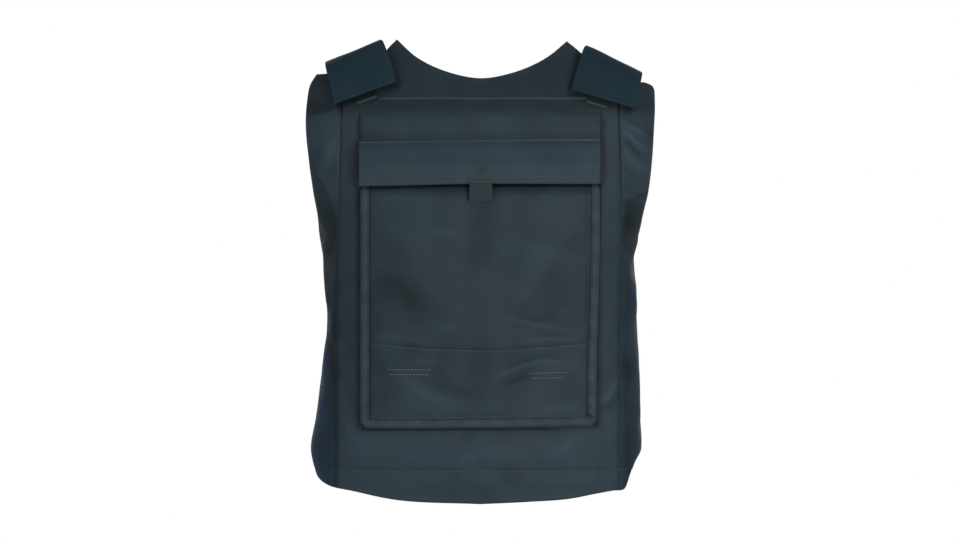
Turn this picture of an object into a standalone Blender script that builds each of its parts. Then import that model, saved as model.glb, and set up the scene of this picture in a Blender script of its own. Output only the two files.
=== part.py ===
"""Demining vest, standing as it is worn, without the wearer.

Metres, +Z up, the front faces -Y and +X is the viewer's right. The origin lies
between the two shoulder straps, level with their undersides at the shoulder tops.
Heights in the tables are measured up from the level of the hem.
"""

from collections import namedtuple
from functools import lru_cache
from math import pi

import bmesh
import bpy
import numpy as np
from mathutils import Vector

# Whole vest
SHOULDER_HEIGHT = 0.514
ROUNDNESS = 2.8
FRONT = -1
BACK = 1
SECTION_STEPS = 240
SLOPE_STEP = 0.002

# Grid over each piece: columns and rows
FRONT_ROWS = 20
FRONT_TOP_COLUMNS = (8, 1, 14, 1, 8)
BACK_ROWS = 16
BACK_TOP_COLUMNS = (8, 12, 8)
HEM_STEPS = 60
STRAP_GRID = (6, 22)
BACKING_GRID = (18, 18)
POCKET_GRID = (18, 14)
FLAP_GRID = (18, 8)
TAB_GRID = (4, 4)
BINDING_STEPS = (14, 18, 14)
SIDE_TOLERANCE = 0.0001
NUDGE = 0.06

# Cloth and padding
FRONT_PADDING = 0.009
BACK_PADDING = 0.008
EDGE_SHARE = 0.45
STRAP_THICKNESS = 0.0055
WEBBING = 0.003
CLOTH = 0.002
GAP = 0.0005

# Side closure: the front wings lie over the back wings
TUCK = 0.0102
TUCK_START = 0.132
TUCK_FULL = 0.172
TUCK_TOP = 0.300
TUCK_FADE = 0.060

# Plate pocket, its backing and its flap
POCKET_LEFT = -0.1365
POCKET_RIGHT = 0.1320
POCKET_BOTTOM = 0.0885
POCKET_MOUTH = 0.386
POCKET_DEPTH = 0.016
GUSSET_SLOPE_DROP = 0.0010
BACKING_LEFT = -0.1375
BACKING_RIGHT = 0.1385
BACKING_TOP = 0.4495
BACKING_CLOTH = 0.0015
BINDING_WIDTH = 0.0130
BINDING_RETURN = 0.006
BINDING_CLOTH = 0.0012
FLAP_LEFT = -0.1395
FLAP_RIGHT = 0.1375
FLAP_BOTTOM = 0.3665
FLAP_TOP = 0.4180
FLAP_BEND = 0.390
FLAP_CLOTH = 0.003
FLAP_TAB_WIDTH = 0.027
FLAP_TAB_BOTTOM = 0.3465
FLAP_TAB_TOP = 0.3735
SEAT = GAP + BACKING_CLOTH + GAP
POCKET_SEAT = SEAT + GUSSET_SLOPE_DROP
FLAP_SEAT = POCKET_DEPTH + GAP + BINDING_CLOTH + GAP

# Webbing tabs under the straps' front ends
STRAP_TAB_WIDTH = 0.023
STRAP_TAB_DROP = 0.0095
STRAP_TAB_HIDDEN = 0.014
STRAP_TAB_SEAT = 0.0008
STRAP_STANDOFF = 0.0045
STRAP_FRONT_SHARES = (0.0, 0.5, 1.0)
STRAP_LAP_IN = 0.84
STRAP_LAP_OUT = 0.62
STRAP_BACK_SHARES = (0.72, 0.48, 0.24, 0.0)
STRAP_BACK_STANDOFFS = (0.0036, 0.0022, 0.0010, 0.0006)
STRAP_TOP_REACH = 0.018

# Horizontal sections of the torso that the vest fits: half widths to the viewer's
# left and right, and depths of the front and back from the side seam's plane
Section = namedtuple("Section", "height left right front back")
TORSO = (
    Section(0.000, 0.1870, 0.1800, 0.1060, 0.1000),
    Section(0.035, 0.1930, 0.1845, 0.1105, 0.1030),
    Section(0.066, 0.1960, 0.1870, 0.1135, 0.1050),
    Section(0.100, 0.1903, 0.1858, 0.1155, 0.1070),
    Section(0.150, 0.1838, 0.1846, 0.1170, 0.1090),
    Section(0.200, 0.1780, 0.1822, 0.1175, 0.1110),
    Section(0.250, 0.1788, 0.1805, 0.1175, 0.1130),
    Section(0.294, 0.1833, 0.1790, 0.1175, 0.1160),
    Section(0.328, 0.1900, 0.1900, 0.1175, 0.1180),
    Section(0.363, 0.2010, 0.2030, 0.1170, 0.1190),
    Section(0.400, 0.2100, 0.2110, 0.1155, 0.1170),
    Section(0.440, 0.2150, 0.2150, 0.1110, 0.1100),
    Section(0.480, 0.2100, 0.2135, 0.0975, 0.0960),
    Section(0.510, 0.2080, 0.2100, 0.0780, 0.0780),
    Section(0.540, 0.2050, 0.2070, 0.0540, 0.0580),
)

# Edges seen from the front: distance to the right of the middle, and height
EdgePoint = namedtuple("EdgePoint", "x height")
FRONT_TOP = (
    (EdgePoint(-0.1885, 0.4960), EdgePoint(-0.1780, 0.4965), EdgePoint(-0.1480, 0.5045),
     EdgePoint(-0.1140, 0.5165), EdgePoint(-0.1034, 0.5285)),
    (EdgePoint(-0.1034, 0.5285), EdgePoint(-0.0955, 0.5365)),
    (EdgePoint(-0.0955, 0.5365), EdgePoint(-0.0735, 0.5160), EdgePoint(-0.0340, 0.4970),
     EdgePoint(0.0030, 0.4905), EdgePoint(0.0340, 0.4960), EdgePoint(0.0780, 0.5160),
     EdgePoint(0.1000, 0.5345)),
    (EdgePoint(0.1000, 0.5345), EdgePoint(0.1150, 0.5195)),
    (EdgePoint(0.1150, 0.5195), EdgePoint(0.1250, 0.5070), EdgePoint(0.1500, 0.4955),
     EdgePoint(0.1780, 0.4865), EdgePoint(0.1890, 0.4865)),
)
BACK_TOP = (
    (EdgePoint(0.1880, 0.4750), EdgePoint(0.1500, 0.4910), EdgePoint(0.1060, 0.5050)),
    (EdgePoint(0.1060, 0.5050), EdgePoint(0.0620, 0.4870), EdgePoint(0.0000, 0.4770),
     EdgePoint(-0.0620, 0.4870), EdgePoint(-0.1060, 0.5050)),
    (EdgePoint(-0.1060, 0.5050), EdgePoint(-0.1500, 0.4910), EdgePoint(-0.1880, 0.4750)),
)

# Hems: distance round the body from the panel's middle, and height
HemPoint = namedtuple("HemPoint", "along height")
FRONT_HEM_LEFT = (
    HemPoint(-0.3120, 0.080), HemPoint(-0.2500, 0.064), HemPoint(-0.2300, 0.050),
    HemPoint(-0.2150, 0.034), HemPoint(-0.1860, 0.0225), HemPoint(-0.1510, 0.0182),
    HemPoint(-0.1000, 0.0103), HemPoint(0.0000, 0.0046),
)
FRONT_HEM_RIGHT = (
    HemPoint(0.0000, 0.0046), HemPoint(0.0550, 0.0072), HemPoint(0.1040, 0.0103),
    HemPoint(0.1380, 0.0163), HemPoint(0.1720, 0.0190), HemPoint(0.1830, 0.0320),
    HemPoint(0.2000, 0.0490), HemPoint(0.2350, 0.0620), HemPoint(0.3120, 0.0800),
)
BACK_HEM = (
    HemPoint(0.0000, 0.012), HemPoint(0.1000, 0.016), HemPoint(0.1450, 0.024),
    HemPoint(0.1750, 0.042), HemPoint(0.2000, 0.060), HemPoint(0.2400, 0.076),
    HemPoint(0.2950, 0.088),
)

# Side edges, wing and armhole, from the hem up: distance behind the side's middle
SidePoint = namedtuple("SidePoint", "depth height")
FRONT_SIDE = (
    SidePoint(0.060, 0.080), SidePoint(0.060, 0.120), SidePoint(0.060, 0.160),
    SidePoint(0.060, 0.200), SidePoint(0.060, 0.240), SidePoint(0.056, 0.266),
    SidePoint(0.044, 0.281), SidePoint(0.025, 0.288), SidePoint(0.000, 0.298),
    SidePoint(-0.020, 0.312), SidePoint(-0.038, 0.328), SidePoint(-0.052, 0.360),
    SidePoint(-0.058, 0.390), SidePoint(-0.0595, 0.435), SidePoint(-0.054, 0.463),
    SidePoint(-0.0505, 0.480),
)
BACK_SIDE = (
    SidePoint(-0.042, 0.088), SidePoint(-0.042, 0.130), SidePoint(-0.042, 0.170),
    SidePoint(-0.042, 0.210), SidePoint(-0.042, 0.245), SidePoint(-0.035, 0.272),
    SidePoint(-0.020, 0.284), SidePoint(0.000, 0.292), SidePoint(0.022, 0.312),
    SidePoint(0.040, 0.336), SidePoint(0.055, 0.368), SidePoint(0.061, 0.405),
    SidePoint(0.060, 0.440),
)

# Shoulder straps: inner and outer corners of the front end, the top and the back end
StrapShape = namedtuple("StrapShape", "front_in front_out top_in top_out back_in back_out")
STRAPS = {
    "left": StrapShape(EdgePoint(-0.0945, 0.4835), EdgePoint(-0.1655, 0.4585),
                       EdgePoint(-0.1115, 0.5350), EdgePoint(-0.1780, 0.5110),
                       EdgePoint(-0.1000, 0.4450), EdgePoint(-0.1720, 0.4300)),
    "right": StrapShape(EdgePoint(0.1027, 0.4745), EdgePoint(0.1755, 0.4540),
                        EdgePoint(0.1195, 0.5280), EdgePoint(0.1862, 0.4990),
                        EdgePoint(0.1020, 0.4450), EdgePoint(0.1740, 0.4300)),
}
STRAP_TAB_SHARE = {"left": 0.50, "right": 0.38}

Cloth = namedtuple("Cloth", "name colour roughness")
NYLON = Cloth("coated_nylon", (0.032, 0.046, 0.057, 1.0), 0.55)
DARK_NYLON = Cloth("dark_nylon", (0.018, 0.031, 0.041, 1.0), 0.65)
TAPE = Cloth("binding_tape", (0.044, 0.056, 0.064, 1.0), 0.7)
WEBBING_CLOTH = Cloth("webbing", (0.030, 0.040, 0.042, 1.0), 0.75)


def smooth(place, xs, ys):
    """Height of the smooth curve through the points (xs, ys) at one place."""
    place = min(max(place, xs[0]), xs[-1])
    slopes = np.gradient(ys, xs)
    first = min(int(np.searchsorted(xs, place, side="right")) - 1, len(xs) - 2)
    step = xs[first + 1] - xs[first]
    t = (place - xs[first]) / step
    return ((2 * t**3 - 3 * t**2 + 1) * ys[first] + (t**3 - 2 * t**2 + t) * step * slopes[first]
            + (3 * t**2 - 2 * t**3) * ys[first + 1] + (t**3 - t**2) * step * slopes[first + 1])


def smooth_path(points, count):
    """Smooth curve through the points, read at count + 1 even steps of its length."""
    points = np.array(points, dtype=float)
    if len(points) == 2:
        return np.linspace(points[0], points[1], count + 1)
    reach = np.concatenate([[0.0], np.cumsum(np.linalg.norm(np.diff(points, axis=0), axis=1))])
    return np.array([[smooth(place, reach, column) for column in points.T]
                     for place in np.linspace(0.0, reach[-1], count + 1)])


def ease(share):
    """Share from 0 to 1 with a soft start and end."""
    share = min(max(share, 0.0), 1.0)
    return share * share * (3.0 - 2.0 * share)


@lru_cache(maxsize=None)
def section(height, side, facing):
    """One half of a torso section: x, y and distance along it from the panel's middle."""
    heights = np.array([row.height for row in TORSO])
    width = smooth(height, heights, np.array([row.left if side < 0 else row.right for row in TORSO]))
    front = smooth(height, heights, np.array([row.front for row in TORSO]))
    back = smooth(height, heights, np.array([row.back for row in TORSO]))
    near, far = (front, back) if facing == FRONT else (back, front)
    turn = np.linspace(0.0, pi, SECTION_STEPS + 1)
    x = side * width * np.sin(turn) ** (2.0 / ROUNDNESS)
    cosine = np.cos(turn)
    y = facing * np.where(cosine > 0, near, far) * np.sign(cosine) * np.abs(cosine) ** (2.0 / ROUNDNESS)
    along = np.concatenate([[0.0], np.cumsum(np.hypot(np.diff(x), np.diff(y)))])
    return x, y, along


def viewer_side(along, facing):
    """Side in x of a place that lies along to the right of a panel's middle."""
    return (1 if along >= 0 else -1) * (1 if facing == FRONT else -1)


def surface(along, height, facing):
    """Point on the torso, along to the right of the middle for one who faces the panel."""
    x, y, reach = section(round(height, 6), viewer_side(along, facing), facing)
    distance = abs(along)
    return Vector((np.interp(distance, reach, x), np.interp(distance, reach, y), height - SHOULDER_HEIGHT))


def outward(along, height, facing):
    """Direction out of the torso's surface."""
    level = surface(along + SLOPE_STEP, height, facing) - surface(along - SLOPE_STEP, height, facing)
    rise = surface(along, height + SLOPE_STEP, facing) - surface(along, height - SLOPE_STEP, facing)
    return level.cross(rise).normalized()


def form(along, height, offset=0.0, facing=FRONT):
    """Point at a distance outside the torso's surface."""
    return surface(along, height, facing) + outward(along, height, facing) * offset


def along_at_x(x, height, facing=FRONT):
    """Distance along the section at which the panel's near half reaches x."""
    side = 1 if x >= 0 else -1
    xs, _, reach = section(round(height, 6), side, facing)
    half = len(xs) // 2
    return side * (1 if facing == FRONT else -1) * float(np.interp(abs(x), np.abs(xs[:half]), reach[:half]))


def along_at_depth(depth, height, side, facing=FRONT):
    """Distance along the section at which it reaches the depth y on one side in x."""
    _, ys, reach = section(round(height, 6), side, facing)
    order = slice(None) if facing == FRONT else slice(None, None, -1)
    return side * (1 if facing == FRONT else -1) * float(np.interp(depth, ys[order], reach[order]))


def before(x, height, offset, facing=FRONT):
    """Point at a distance outside the torso that keeps its x and height as seen from the front."""
    along = along_at_x(x, height, facing)
    reach = offset / abs(outward(along, height, facing).y)
    return surface(along, height, facing) + Vector((0.0, facing * reach, 0.0))


def material(cloth):
    """Plain cloth material with one colour."""
    made = bpy.data.materials.new(cloth.name)
    made.use_nodes = True
    shader = made.node_tree.nodes["Principled BSDF"]
    shader.inputs["Base Color"].default_value = cloth.colour
    shader.inputs["Roughness"].default_value = cloth.roughness
    shader.inputs["Metallic"].default_value = 0.0
    return made


def grid(columns, rows):
    """Flat grid over the unit square, with u in x and v in y."""
    shape = bmesh.new()
    bmesh.ops.create_grid(shape, x_segments=columns, y_segments=rows, size=0.5)
    bmesh.ops.translate(shape, verts=shape.verts, vec=(0.5, 0.5, 0.0))
    return shape


def fold_back(shape, sides):
    """Wall folded back from the grid's named sides, one unit down in w."""
    tests = {
        "left": lambda co: co.x < SIDE_TOLERANCE,
        "right": lambda co: co.x > 1.0 - SIDE_TOLERANCE,
        "bottom": lambda co: co.y < SIDE_TOLERANCE,
    }
    edges = [edge for edge in shape.edges
             if any(all(tests[side](vert.co) for vert in edge.verts) for side in sides)]
    made = bmesh.ops.extrude_edge_only(shape, edges=edges)["geom"]
    for vert in made:
        if isinstance(vert, bmesh.types.BMVert):
            vert.co.z = -1.0
    bmesh.ops.recalc_face_normals(shape, faces=shape.faces)


def finish(name, shape, place, collection, root, cloth, thickness, grows_out):
    """Object from a grid: each point (u, v, w) is placed, then thickened to one side."""
    middle = place(0.5, 0.5, 0.0)
    across = place(0.5 + NUDGE, 0.5, 0.0) - middle
    up = place(0.5, 0.5 + NUDGE, 0.0) - middle
    for vert in shape.verts:
        vert.co = place(*vert.co)
    shape.normal_update()
    central = min(shape.faces, key=lambda face: (face.calc_center_median() - middle).length)
    if central.normal.dot(across.cross(up)) < 0:
        bmesh.ops.reverse_faces(shape, faces=shape.faces)
    mesh = bpy.data.meshes.new(name)
    shape.to_mesh(mesh)
    shape.free()
    mesh.materials.append(cloth)
    mesh.shade_smooth()
    piece = bpy.data.objects.new(name, mesh)
    piece.parent = root
    collection.objects.link(piece)
    solid = piece.modifiers.new("Thickness", "SOLIDIFY")
    solid.thickness = thickness
    solid.offset = 1.0 if grows_out else -1.0
    solid.use_quality_normals = True
    return piece


def thin_edges(piece, columns, rows):
    """Padding that thins towards the panel's edges."""
    group = piece.vertex_groups.new(name="padding")
    inner = []
    for index in range((columns + 1) * (rows + 1)):
        row, column = divmod(index, columns + 1)
        if 0 < row < rows and 0 < column < columns:
            inner.append(index)
    group.add(inner, 1.0, "REPLACE")
    piece.modifiers["Thickness"].vertex_group = group.name
    piece.modifiers["Thickness"].thickness_vertex_group = EDGE_SHARE


def patch(top, bottom, left, right):
    """Grid of (along, height) points filled in between a panel's four edges."""
    us = (top[:, 0] - top[0, 0]) / (top[-1, 0] - top[0, 0])
    vs = np.linspace(0.0, 1.0, len(left))
    filled = np.zeros((len(vs), len(us), 2))
    for row, v in enumerate(vs):
        for column, u in enumerate(us):
            edges = (1 - v) * bottom[column] + v * top[column] + (1 - u) * left[row] + u * right[row]
            corners = ((1 - v) * ((1 - u) * bottom[0] + u * bottom[-1])
                       + v * ((1 - u) * top[0] + u * top[-1]))
            filled[row, column] = edges - corners
    return filled


def at_shares(path, shares):
    """Points of a path at the given shares of its length."""
    reach = np.concatenate([[0.0], np.cumsum(np.linalg.norm(np.diff(path, axis=0), axis=1))])
    return np.array([[np.interp(share * reach[-1], reach, column) for column in path.T] for share in shares])


def top_edge(runs, columns, facing):
    """Top edge of a panel as (along, height) points, with a column at each corner."""
    points = []
    for run, count in zip(runs, columns):
        path = smooth_path(run, count)
        points.extend(path if not points else path[1:])
    return np.array([[along_at_x(x, height, facing), height] for x, height in points])


def side_edge(points, corner, side, rows, facing):
    """Side edge of a panel from its hem to its top corner."""
    places = [[along_at_depth(point.depth, point.height, side, facing), point.height] for point in points]
    return smooth_path(places + [list(corner)], rows)


def panel(name, edges, rows, facing, offset, padding, collection, root, cloth):
    """Padded panel over the patch between its edges."""
    filled = patch(*edges)
    columns = len(edges[0]) - 1

    def place(u, v, w):
        along, height = filled[round(v * rows), round(u * columns)]
        return form(along, height, offset(along, height), facing)

    piece = finish(name, grid(columns, rows), place, collection, root, cloth, padding, grows_out=False)
    thin_edges(piece, columns, rows)
    return piece


def front_panel(collection, root, cloth):
    """Front carrier: neckline, shoulder points, armholes, hem and side wings."""
    top = top_edge(FRONT_TOP, FRONT_TOP_COLUMNS, FRONT)
    left_half, right_half = smooth_path(FRONT_HEM_LEFT, HEM_STEPS), smooth_path(FRONT_HEM_RIGHT, HEM_STEPS)
    hem = np.concatenate([left_half, right_half[1:]])
    hem = at_shares(hem, (top[:, 0] - top[0, 0]) / (top[-1, 0] - top[0, 0]))
    left = side_edge(FRONT_SIDE, top[0], -1, FRONT_ROWS, FRONT)
    right = side_edge(FRONT_SIDE, top[-1], 1, FRONT_ROWS, FRONT)
    hem[0], hem[-1] = left[0], right[0]
    return panel("front_panel", (top, hem, left, right), FRONT_ROWS, FRONT, lambda along, height: 0.0,
                 FRONT_PADDING, collection, root, cloth)


def tuck(along, height):
    """How far the back panel's wings lie inside the front's."""
    share = ease((abs(along) - TUCK_START) / (TUCK_FULL - TUCK_START))
    return -TUCK * share * (1.0 - ease((height - TUCK_TOP) / TUCK_FADE))


def back_panel(collection, root, cloth):
    """Back carrier, plain, with wings that pass under the front ones."""
    top = top_edge(BACK_TOP, BACK_TOP_COLUMNS, BACK)
    half = smooth_path(BACK_HEM, HEM_STEPS)
    hem = np.concatenate([half[::-1] * (-1.0, 1.0), half[1:]])
    hem = at_shares(hem, (top[:, 0] - top[0, 0]) / (top[-1, 0] - top[0, 0]))
    left = side_edge(BACK_SIDE, top[0], 1, BACK_ROWS, BACK)
    right = side_edge(BACK_SIDE, top[-1], -1, BACK_ROWS, BACK)
    hem[0], hem[-1] = left[0], right[0]
    return panel("back_panel", (top, hem, left, right), BACK_ROWS, BACK, tuck,
                 BACK_PADDING, collection, root, cloth)


def between(start, end, share):
    """Point between two points of an edge."""
    return EdgePoint(*(a + (b - a) * share for a, b in zip(start, end)))


def shoulder_strap(side, collection, root, cloth):
    """Wide strap from the back panel over the shoulder to the front panel."""
    shape = STRAPS[side]
    columns, rows = STRAP_GRID

    def line(share):
        end = between(shape.front_in, shape.front_out, share)
        top = between(shape.top_in, shape.top_out, share)
        tail = between(shape.back_in, shape.back_out, share)
        level = top.height - STRAP_THICKNESS - SHOULDER_HEIGHT
        lap = STRAP_LAP_IN + (STRAP_LAP_OUT - STRAP_LAP_IN) * share
        climb = [between(end, top, lap * part) for part in STRAP_FRONT_SHARES]
        points = [before(spot.x, spot.height, STRAP_STANDOFF) for spot in climb]
        points.extend(Vector((top.x, depth, level)) for depth in (-STRAP_TOP_REACH, STRAP_TOP_REACH))
        for part, standoff in zip(STRAP_BACK_SHARES, STRAP_BACK_STANDOFFS):
            spot = between(tail, top, part)
            points.append(before(spot.x, spot.height, standoff, BACK))
        return smooth_path(points, rows)

    def place(u, v, w):
        share = 1.0 - u if side == "left" else u
        path = line(share)
        return Vector([np.interp(v * rows, range(rows + 1), column) for column in path.T])

    return finish("shoulder_strap_" + side, grid(columns, rows), place, collection, root, cloth,
                  STRAP_THICKNESS, grows_out=True)


def strap_tab(side, collection, root, cloth):
    """Webbing tab that comes out from under a strap's front end."""
    shape = STRAPS[side]
    sign = -1 if side == "left" else 1
    middle = between(shape.front_in, shape.front_out, STRAP_TAB_SHARE[side])
    run = (Vector(shape.front_out) - Vector(shape.front_in)).normalized() * sign
    drop = Vector((run.y, -run.x))

    def place(u, v, w):
        down = STRAP_TAB_DROP - (STRAP_TAB_DROP + STRAP_TAB_HIDDEN) * v
        spot = Vector(middle) + run * STRAP_TAB_WIDTH * (u - 0.5) + drop * down
        return before(spot.x, spot.y, STRAP_TAB_SEAT)

    return finish("strap_tab_" + side, grid(*TAB_GRID), place, collection, root, cloth,
                  WEBBING, grows_out=True)


def pocket_backing(collection, root, cloth):
    """Cloth sheet that carries the pocket and shows above its flap."""
    def place(u, v, w):
        x = BACKING_LEFT + (BACKING_RIGHT - BACKING_LEFT) * u
        return before(x, POCKET_BOTTOM + (BACKING_TOP - POCKET_BOTTOM) * v, GAP)

    return finish("pocket_backing", grid(*BACKING_GRID), place, collection, root, cloth,
                  BACKING_CLOTH, grows_out=True)


def plate_pocket(collection, root, cloth):
    """Pocket bag: a front wall with gussets on three sides, open at its top."""
    shape = grid(*POCKET_GRID)
    fold_back(shape, ("left", "bottom", "right"))

    def place(u, v, w):
        x = POCKET_LEFT + (POCKET_RIGHT - POCKET_LEFT) * u
        height = POCKET_BOTTOM + (POCKET_MOUTH - POCKET_BOTTOM) * v
        return before(x, height, POCKET_DEPTH + (POCKET_DEPTH - POCKET_SEAT) * w)

    piece = finish("plate_pocket", shape, place, collection, root, cloth, CLOTH, grows_out=False)
    piece.modifiers["Thickness"].use_even_offset = True
    return piece


def binding_path(inset):
    """Left, bottom and right sides of the pocket, a distance inside its edge."""
    left, right, bottom = POCKET_LEFT + inset, POCKET_RIGHT - inset, POCKET_BOTTOM + inset
    corners = ((left, POCKET_MOUTH), (left, bottom), (right, bottom), (right, POCKET_MOUTH))
    points = []
    for start, end, count in zip(corners, corners[1:], BINDING_STEPS):
        run = np.linspace(start, end, count + 1)
        points.extend(run if not points else run[1:])
    return np.array(points)


def pocket_binding(collection, root, cloth):
    """Tape bound over the pocket's left, bottom and right edges, with mitred corners."""
    outer = binding_path(-GAP)
    inner = binding_path(BINDING_WIDTH)
    count = sum(BINDING_STEPS)
    shape = grid(count, 1)
    fold_back(shape, ("bottom",))

    def place(u, v, w):
        spot = [np.interp(u * count, range(count + 1), column) for column in (outer * (1 - v) + inner * v).T]
        return before(*spot, POCKET_DEPTH + GAP + BINDING_RETURN * w)

    piece = finish("pocket_binding", shape, place, collection, root, cloth, BINDING_CLOTH, grows_out=True)
    piece.modifiers["Thickness"].use_even_offset = True
    return piece


def flap_offset(height):
    """Distance of the flap's inner face from the torso: sewn flat at its top, over the pocket below."""
    return SEAT + (FLAP_SEAT - SEAT) * ease((FLAP_TOP - height) / (FLAP_TOP - FLAP_BEND))


def pocket_flap(collection, root, cloth):
    """Flap over the pocket's mouth, sewn down along its top."""
    def place(u, v, w):
        height = FLAP_BOTTOM + (FLAP_TOP - FLAP_BOTTOM) * v
        return before(FLAP_LEFT + (FLAP_RIGHT - FLAP_LEFT) * u, height, flap_offset(height))

    return finish("pocket_flap", grid(*FLAP_GRID), place, collection, root, cloth,
                  FLAP_CLOTH, grows_out=True)


def flap_tab(collection, root, cloth):
    """Webbing pull tab sewn on the flap's lower edge."""
    def place(u, v, w):
        height = FLAP_TAB_BOTTOM + (FLAP_TAB_TOP - FLAP_TAB_BOTTOM) * v
        return before(FLAP_TAB_WIDTH * (u - 0.5), height, FLAP_SEAT + FLAP_CLOTH + GAP)

    return finish("flap_tab", grid(*TAB_GRID), place, collection, root, cloth, WEBBING, grows_out=True)


def build():
    """All pieces of the vest, in one collection under one empty."""
    for old in list(bpy.data.objects):
        bpy.data.objects.remove(old, do_unlink=True)
    collection = bpy.data.collections.new("demining_vest")
    bpy.context.scene.collection.children.link(collection)
    root = bpy.data.objects.new("vest_root", None)
    collection.objects.link(root)
    nylon = material(NYLON)
    dark_nylon = material(DARK_NYLON)
    tape = material(TAPE)
    webbing = material(WEBBING_CLOTH)
    front_panel(collection, root, nylon)
    back_panel(collection, root, nylon)
    pocket_backing(collection, root, nylon)
    plate_pocket(collection, root, nylon)
    pocket_binding(collection, root, tape)
    pocket_flap(collection, root, nylon)
    flap_tab(collection, root, webbing)
    for side in STRAPS:
        shoulder_strap(side, collection, root, dark_nylon)
        strap_tab(side, collection, root, webbing)


build()
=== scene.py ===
"""Demining vest, standing as it is worn: padded nylon panels, straps, plate pocket and stitching.

Metres, +Z up, the front faces -Y and +X is the viewer's right. The origin lies level with the
straps' undersides. Heights are measured up from the level of the hem, and "along" is the distance
round the body from a panel's middle, to the right for one who faces it.
"""

from collections import namedtuple
from math import pi, radians

import bpy
import numpy as np
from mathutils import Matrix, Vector

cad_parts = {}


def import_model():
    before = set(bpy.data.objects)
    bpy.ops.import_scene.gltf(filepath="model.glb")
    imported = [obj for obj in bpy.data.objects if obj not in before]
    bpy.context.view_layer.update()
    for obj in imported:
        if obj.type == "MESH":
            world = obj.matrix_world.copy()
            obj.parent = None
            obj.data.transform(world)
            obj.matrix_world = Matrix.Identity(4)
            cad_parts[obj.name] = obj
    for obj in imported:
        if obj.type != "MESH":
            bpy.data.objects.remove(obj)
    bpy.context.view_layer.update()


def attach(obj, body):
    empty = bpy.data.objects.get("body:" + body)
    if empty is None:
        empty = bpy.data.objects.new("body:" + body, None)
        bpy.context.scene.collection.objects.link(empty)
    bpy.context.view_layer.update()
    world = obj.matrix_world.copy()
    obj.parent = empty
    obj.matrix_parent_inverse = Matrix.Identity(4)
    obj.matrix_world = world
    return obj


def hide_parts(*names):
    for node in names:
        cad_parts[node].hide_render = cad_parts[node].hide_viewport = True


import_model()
bpy.ops.object.select_all(action="DESELECT")

# Whole vest
SHOULDER_HEIGHT = 0.514
ROUNDNESS = 2.8
FRONT = -1
BACK = 1
SECTION_STEPS = 1200
HEIGHT_STEP = 0.002
ALONG_STEP = 0.001
HEIGHTS = np.arange(-0.010, 0.5641, HEIGHT_STEP)
ALONGS = np.arange(-0.440, 0.44001, ALONG_STEP)
SLOPE_REACH = 0.004
SLOPE_STEP = 0.002

# Horizontal sections of the torso: half widths to the viewer's left and right, front and back depths
Section = namedtuple("Section", "height left right front back")
TORSO = Section(*np.array([
    (0.000, 0.1870, 0.1800, 0.1060, 0.1000),
    (0.035, 0.1930, 0.1845, 0.1105, 0.1030),
    (0.066, 0.1960, 0.1870, 0.1135, 0.1050),
    (0.100, 0.1903, 0.1858, 0.1155, 0.1070),
    (0.150, 0.1838, 0.1846, 0.1170, 0.1090),
    (0.200, 0.1780, 0.1822, 0.1175, 0.1110),
    (0.250, 0.1788, 0.1805, 0.1175, 0.1130),
    (0.294, 0.1833, 0.1790, 0.1175, 0.1160),
    (0.328, 0.1900, 0.1900, 0.1175, 0.1180),
    (0.363, 0.2010, 0.2030, 0.1170, 0.1190),
    (0.400, 0.2100, 0.2110, 0.1155, 0.1170),
    (0.440, 0.2150, 0.2150, 0.1110, 0.1100),
    (0.480, 0.2100, 0.2135, 0.0975, 0.0960),
    (0.510, 0.2080, 0.2100, 0.0780, 0.0780),
    (0.540, 0.2050, 0.2070, 0.0540, 0.0580),
]).T)

# Panels' edges as seen from the front: x and height, then distance along and height for the hems,
# and depth behind the side's middle and height for the side edges
FRONT_TOP = (
    ((-0.1885, 0.4960), (-0.1780, 0.4965), (-0.1480, 0.5045), (-0.1140, 0.5165), (-0.1034, 0.5285)),
    ((-0.1034, 0.5285), (-0.0955, 0.5365)),
    ((-0.0955, 0.5365), (-0.0735, 0.5160), (-0.0340, 0.4970), (0.0030, 0.4905), (0.0340, 0.4960),
     (0.0780, 0.5160), (0.1000, 0.5345)),
    ((0.1000, 0.5345), (0.1150, 0.5195)),
    ((0.1150, 0.5195), (0.1250, 0.5070), (0.1500, 0.4955), (0.1780, 0.4865), (0.1890, 0.4865)),
)
FRONT_HEM_LEFT = (
    (-0.3120, 0.0800), (-0.2500, 0.0640), (-0.2300, 0.0500), (-0.2150, 0.0340), (-0.1860, 0.0225),
    (-0.1510, 0.0172), (-0.1000, 0.0080), (0.0000, 0.0030),
)
FRONT_HEM_RIGHT = (
    (0.0000, 0.0030), (0.0550, 0.0055), (0.1040, 0.0088), (0.1380, 0.0144), (0.1600, 0.0172),
    (0.1790, 0.0190), (0.1865, 0.0320), (0.2010, 0.0490), (0.2350, 0.0620), (0.3120, 0.0800),
)
FRONT_SIDE = (
    (0.060, 0.080), (0.060, 0.120), (0.060, 0.160), (0.060, 0.200), (0.060, 0.240), (0.056, 0.266),
    (0.044, 0.281), (0.025, 0.288), (0.000, 0.298), (-0.020, 0.312), (-0.038, 0.328), (-0.052, 0.360),
    (-0.058, 0.390), (-0.0595, 0.435), (-0.054, 0.463), (-0.0505, 0.480),
)
BACK_TOP = (
    ((0.1880, 0.4750), (0.1500, 0.4910), (0.1060, 0.5050)),
    ((0.1060, 0.5050), (0.0620, 0.4870), (0.0000, 0.4770), (-0.0620, 0.4870), (-0.1060, 0.5050)),
    ((-0.1060, 0.5050), (-0.1500, 0.4910), (-0.1880, 0.4750)),
)
BACK_HEM = (
    (0.0000, 0.012), (0.1000, 0.016), (0.1450, 0.024), (0.1750, 0.042), (0.2000, 0.060),
    (0.2400, 0.076), (0.2950, 0.088),
)
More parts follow.
